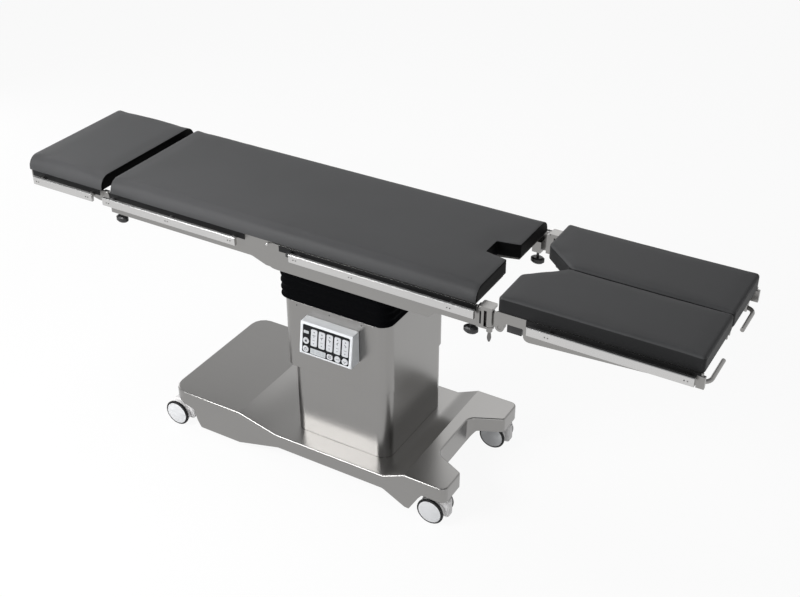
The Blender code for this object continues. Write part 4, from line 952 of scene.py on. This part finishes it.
def print_sign(key, parts):
    """Join a key's marks and let them ride on the key."""
    settled(joined(key.replace("button", "mark"), parts), body_with(key), FINISH["ink"])


def make_key_marks():
    """Plain pictograms: a table outline and arrows on the long keys, simple signs on the others."""
    for name, u in PILL_KEYS.items():
        v = PILL_V
        print_sign(name, [mark_arrow(u, v + 0.0185, 0.0030),
                          mark_bar(u, v + 0.0085, 0.0105, 0.0016, PILL_TURNS[name]),
                          mark_bar(u, v + 0.0045, 0.0016, 0.0050), mark_bar(u, v - 0.0075, 0.0080, 0.0012),
                          mark_arrow(u, v - 0.0175, 0.0024, True)])
    u, v = ROUND_KEYS["button_lock"]
    print_sign("button_lock", [mark_bar(u, v - 0.001, 0.0070, 0.0050),
                               mark_ring(u, v + 0.0025, 0.0024, 0.0006)])
    u, v = ROUND_KEYS["button_power"]
    print_sign("button_power", [mark_ring(u, v, 0.0040, 0.0006), mark_bar(u, v + 0.0034, 0.0012, 0.0050)])
    u, v = ROUND_KEYS["button_reverse"]
    print_sign("button_reverse", [mark_arrow(u - 0.003, v, 0.0024), mark_arrow(u + 0.003, v, 0.0024, True)])
    u, v = ROUND_KEYS["button_level"]
    print_sign("button_level", [mark_bar(u, v, 0.0100, 0.0014), mark_arrow(u, v - 0.0034, 0.0020)])
    u, v = STOP_UV
    print_sign("button_stop", [mark_ring(u, v, 0.0042, 0.0007), mark_bar(u, v, 0.0078, 0.0013, pi / 4)])


def make_display_lines():
    """Faint bars on the display window."""
    lines = joined("display_bars", [mark_bar(DISPLAY_UV[0] + u, DISPLAY_UV[1] + v, length, BAR_HIGH)
                                    for u, v, length in DISPLAY_BARS])
    pick(lines)
    bpy.ops.object.mode_set(mode="EDIT")
    bpy.ops.mesh.select_all(action="SELECT")
    inward = PANEL_MATRIX.to_3x3() @ Vector((0, 0, -(KEY_TOP + BAR_SINK)))
    bpy.ops.transform.translate(value=inward)
    done()
    settled(lines, "column_top", moulded("display_segments", SEGMENT_GREY, 0.4))


# Base, column and section frames

RIM_ROUND = 0.0042
RAIL_BACK_Y = 0.2390             # further out than this, a frame's faces belong to its rail
WITH_RAIL = ("head_frame", "leg_frame_right", "leg_frame_left")


def make_base_cover():
    """Stepped sheet cover with its top rim rolled over."""
    cover = dressed_copy("base_shell", "base_cover", 0)
    edit(cover, "EDGE")

    def top_rim(item):
        if len(item.link_faces) != 2 or not item.is_convex:
            return False
        first, second = sorted(face.normal.z for face in item.link_faces)
        return abs(first) < 0.4 and second > 0.5

    select_edges(cover, top_rim)
    bpy.ops.mesh.bevel(offset=RIM_ROUND, segments=4, profile=0.5, affect="EDGES", clamp_overlap=True)
    done()
    clean_shading(cover)
    settled(cover, "base", FINISH["shell"])


def make_sleeves():
    for node_name, body in (("lower_column_sleeve", "base"), ("upper_column_sleeve", "column_top"),
                            ("middle_column_sleeve", "middle")):
        sleeve = dressed_copy(node_name, node_name.replace("column_sleeve", "sleeve_skin"), *SOFTENED["sleeve"])
        settled(sleeve, body, FINISH["sleeve"])


def make_housing():
    housing = dressed_copy("panel_housing", "housing_shell", *SOFTENED["housing"])
    settled(housing, "column_top", FINISH["housing"])


def make_frames():
    """Softened section frames, with a polished finish where a rail is one solid with its frame."""
    for node_name in ("seat_frame", "back_frame", *WITH_RAIL):
        piece = dressed_copy(node_name, node_name.replace("frame", "section_frame"), *SOFTENED["frame"])
        settled(piece, body_with(node_name), FINISH["frame"])
        if node_name in WITH_RAIL:
            refinished(piece, "rail", lambda c, n: abs(c.y) > RAIL_BACK_Y)
    for side_name in SIDES:
        dress("frame", f"leg_post_{side_name}")


def main():
    make_camera()
    make_floor()
    make_world()
    make_lights()
    make_head_cushion()
    make_main_cushion()
    for side_name in SIDES:
        make_leg_cushion(side_name)
        for end in ("head", "foot"):
            make_wheels(end, side_name)
            make_hood(end, side_name)
        dress("rail", f"seat_rail_{side_name}", f"back_rail_{side_name}")
        dress("knob", f"head_knob_{side_name}_body", f"seat_knob_{side_name}_body")
        dress("dark_steel", f"lock_handle_{side_name}")
    make_bellows("bellows_lower_folds", "lower_bellows", 4, True)
    make_bellows("bellows_upper_folds", "upper_bellows", 3, False)
    make_base_cover()
    make_sleeves()
    make_housing()
    make_frames()
    make_rail_screws()
    make_rail_gap_shades()
    make_sleeve_rivets()
    make_key_marks()
    make_display_lines()
    dress("paint", "base_chassis", "battery_pack")
    dress("machined", "lift_cylinder", "lift_rod", "gimbal_cross")
    dress("dark_steel", "column_head")
    dress("membrane", "panel_faceplate")
    dress("screen", "panel_board")
    dress("laminate", "seat_panel", "back_panel", "head_panel")
    dress("key", *PILL_KEYS, *ROUND_KEYS, "button_stop")
    bpy.context.scene.view_settings.view_transform = "Standard"
    clear_selection()


main()
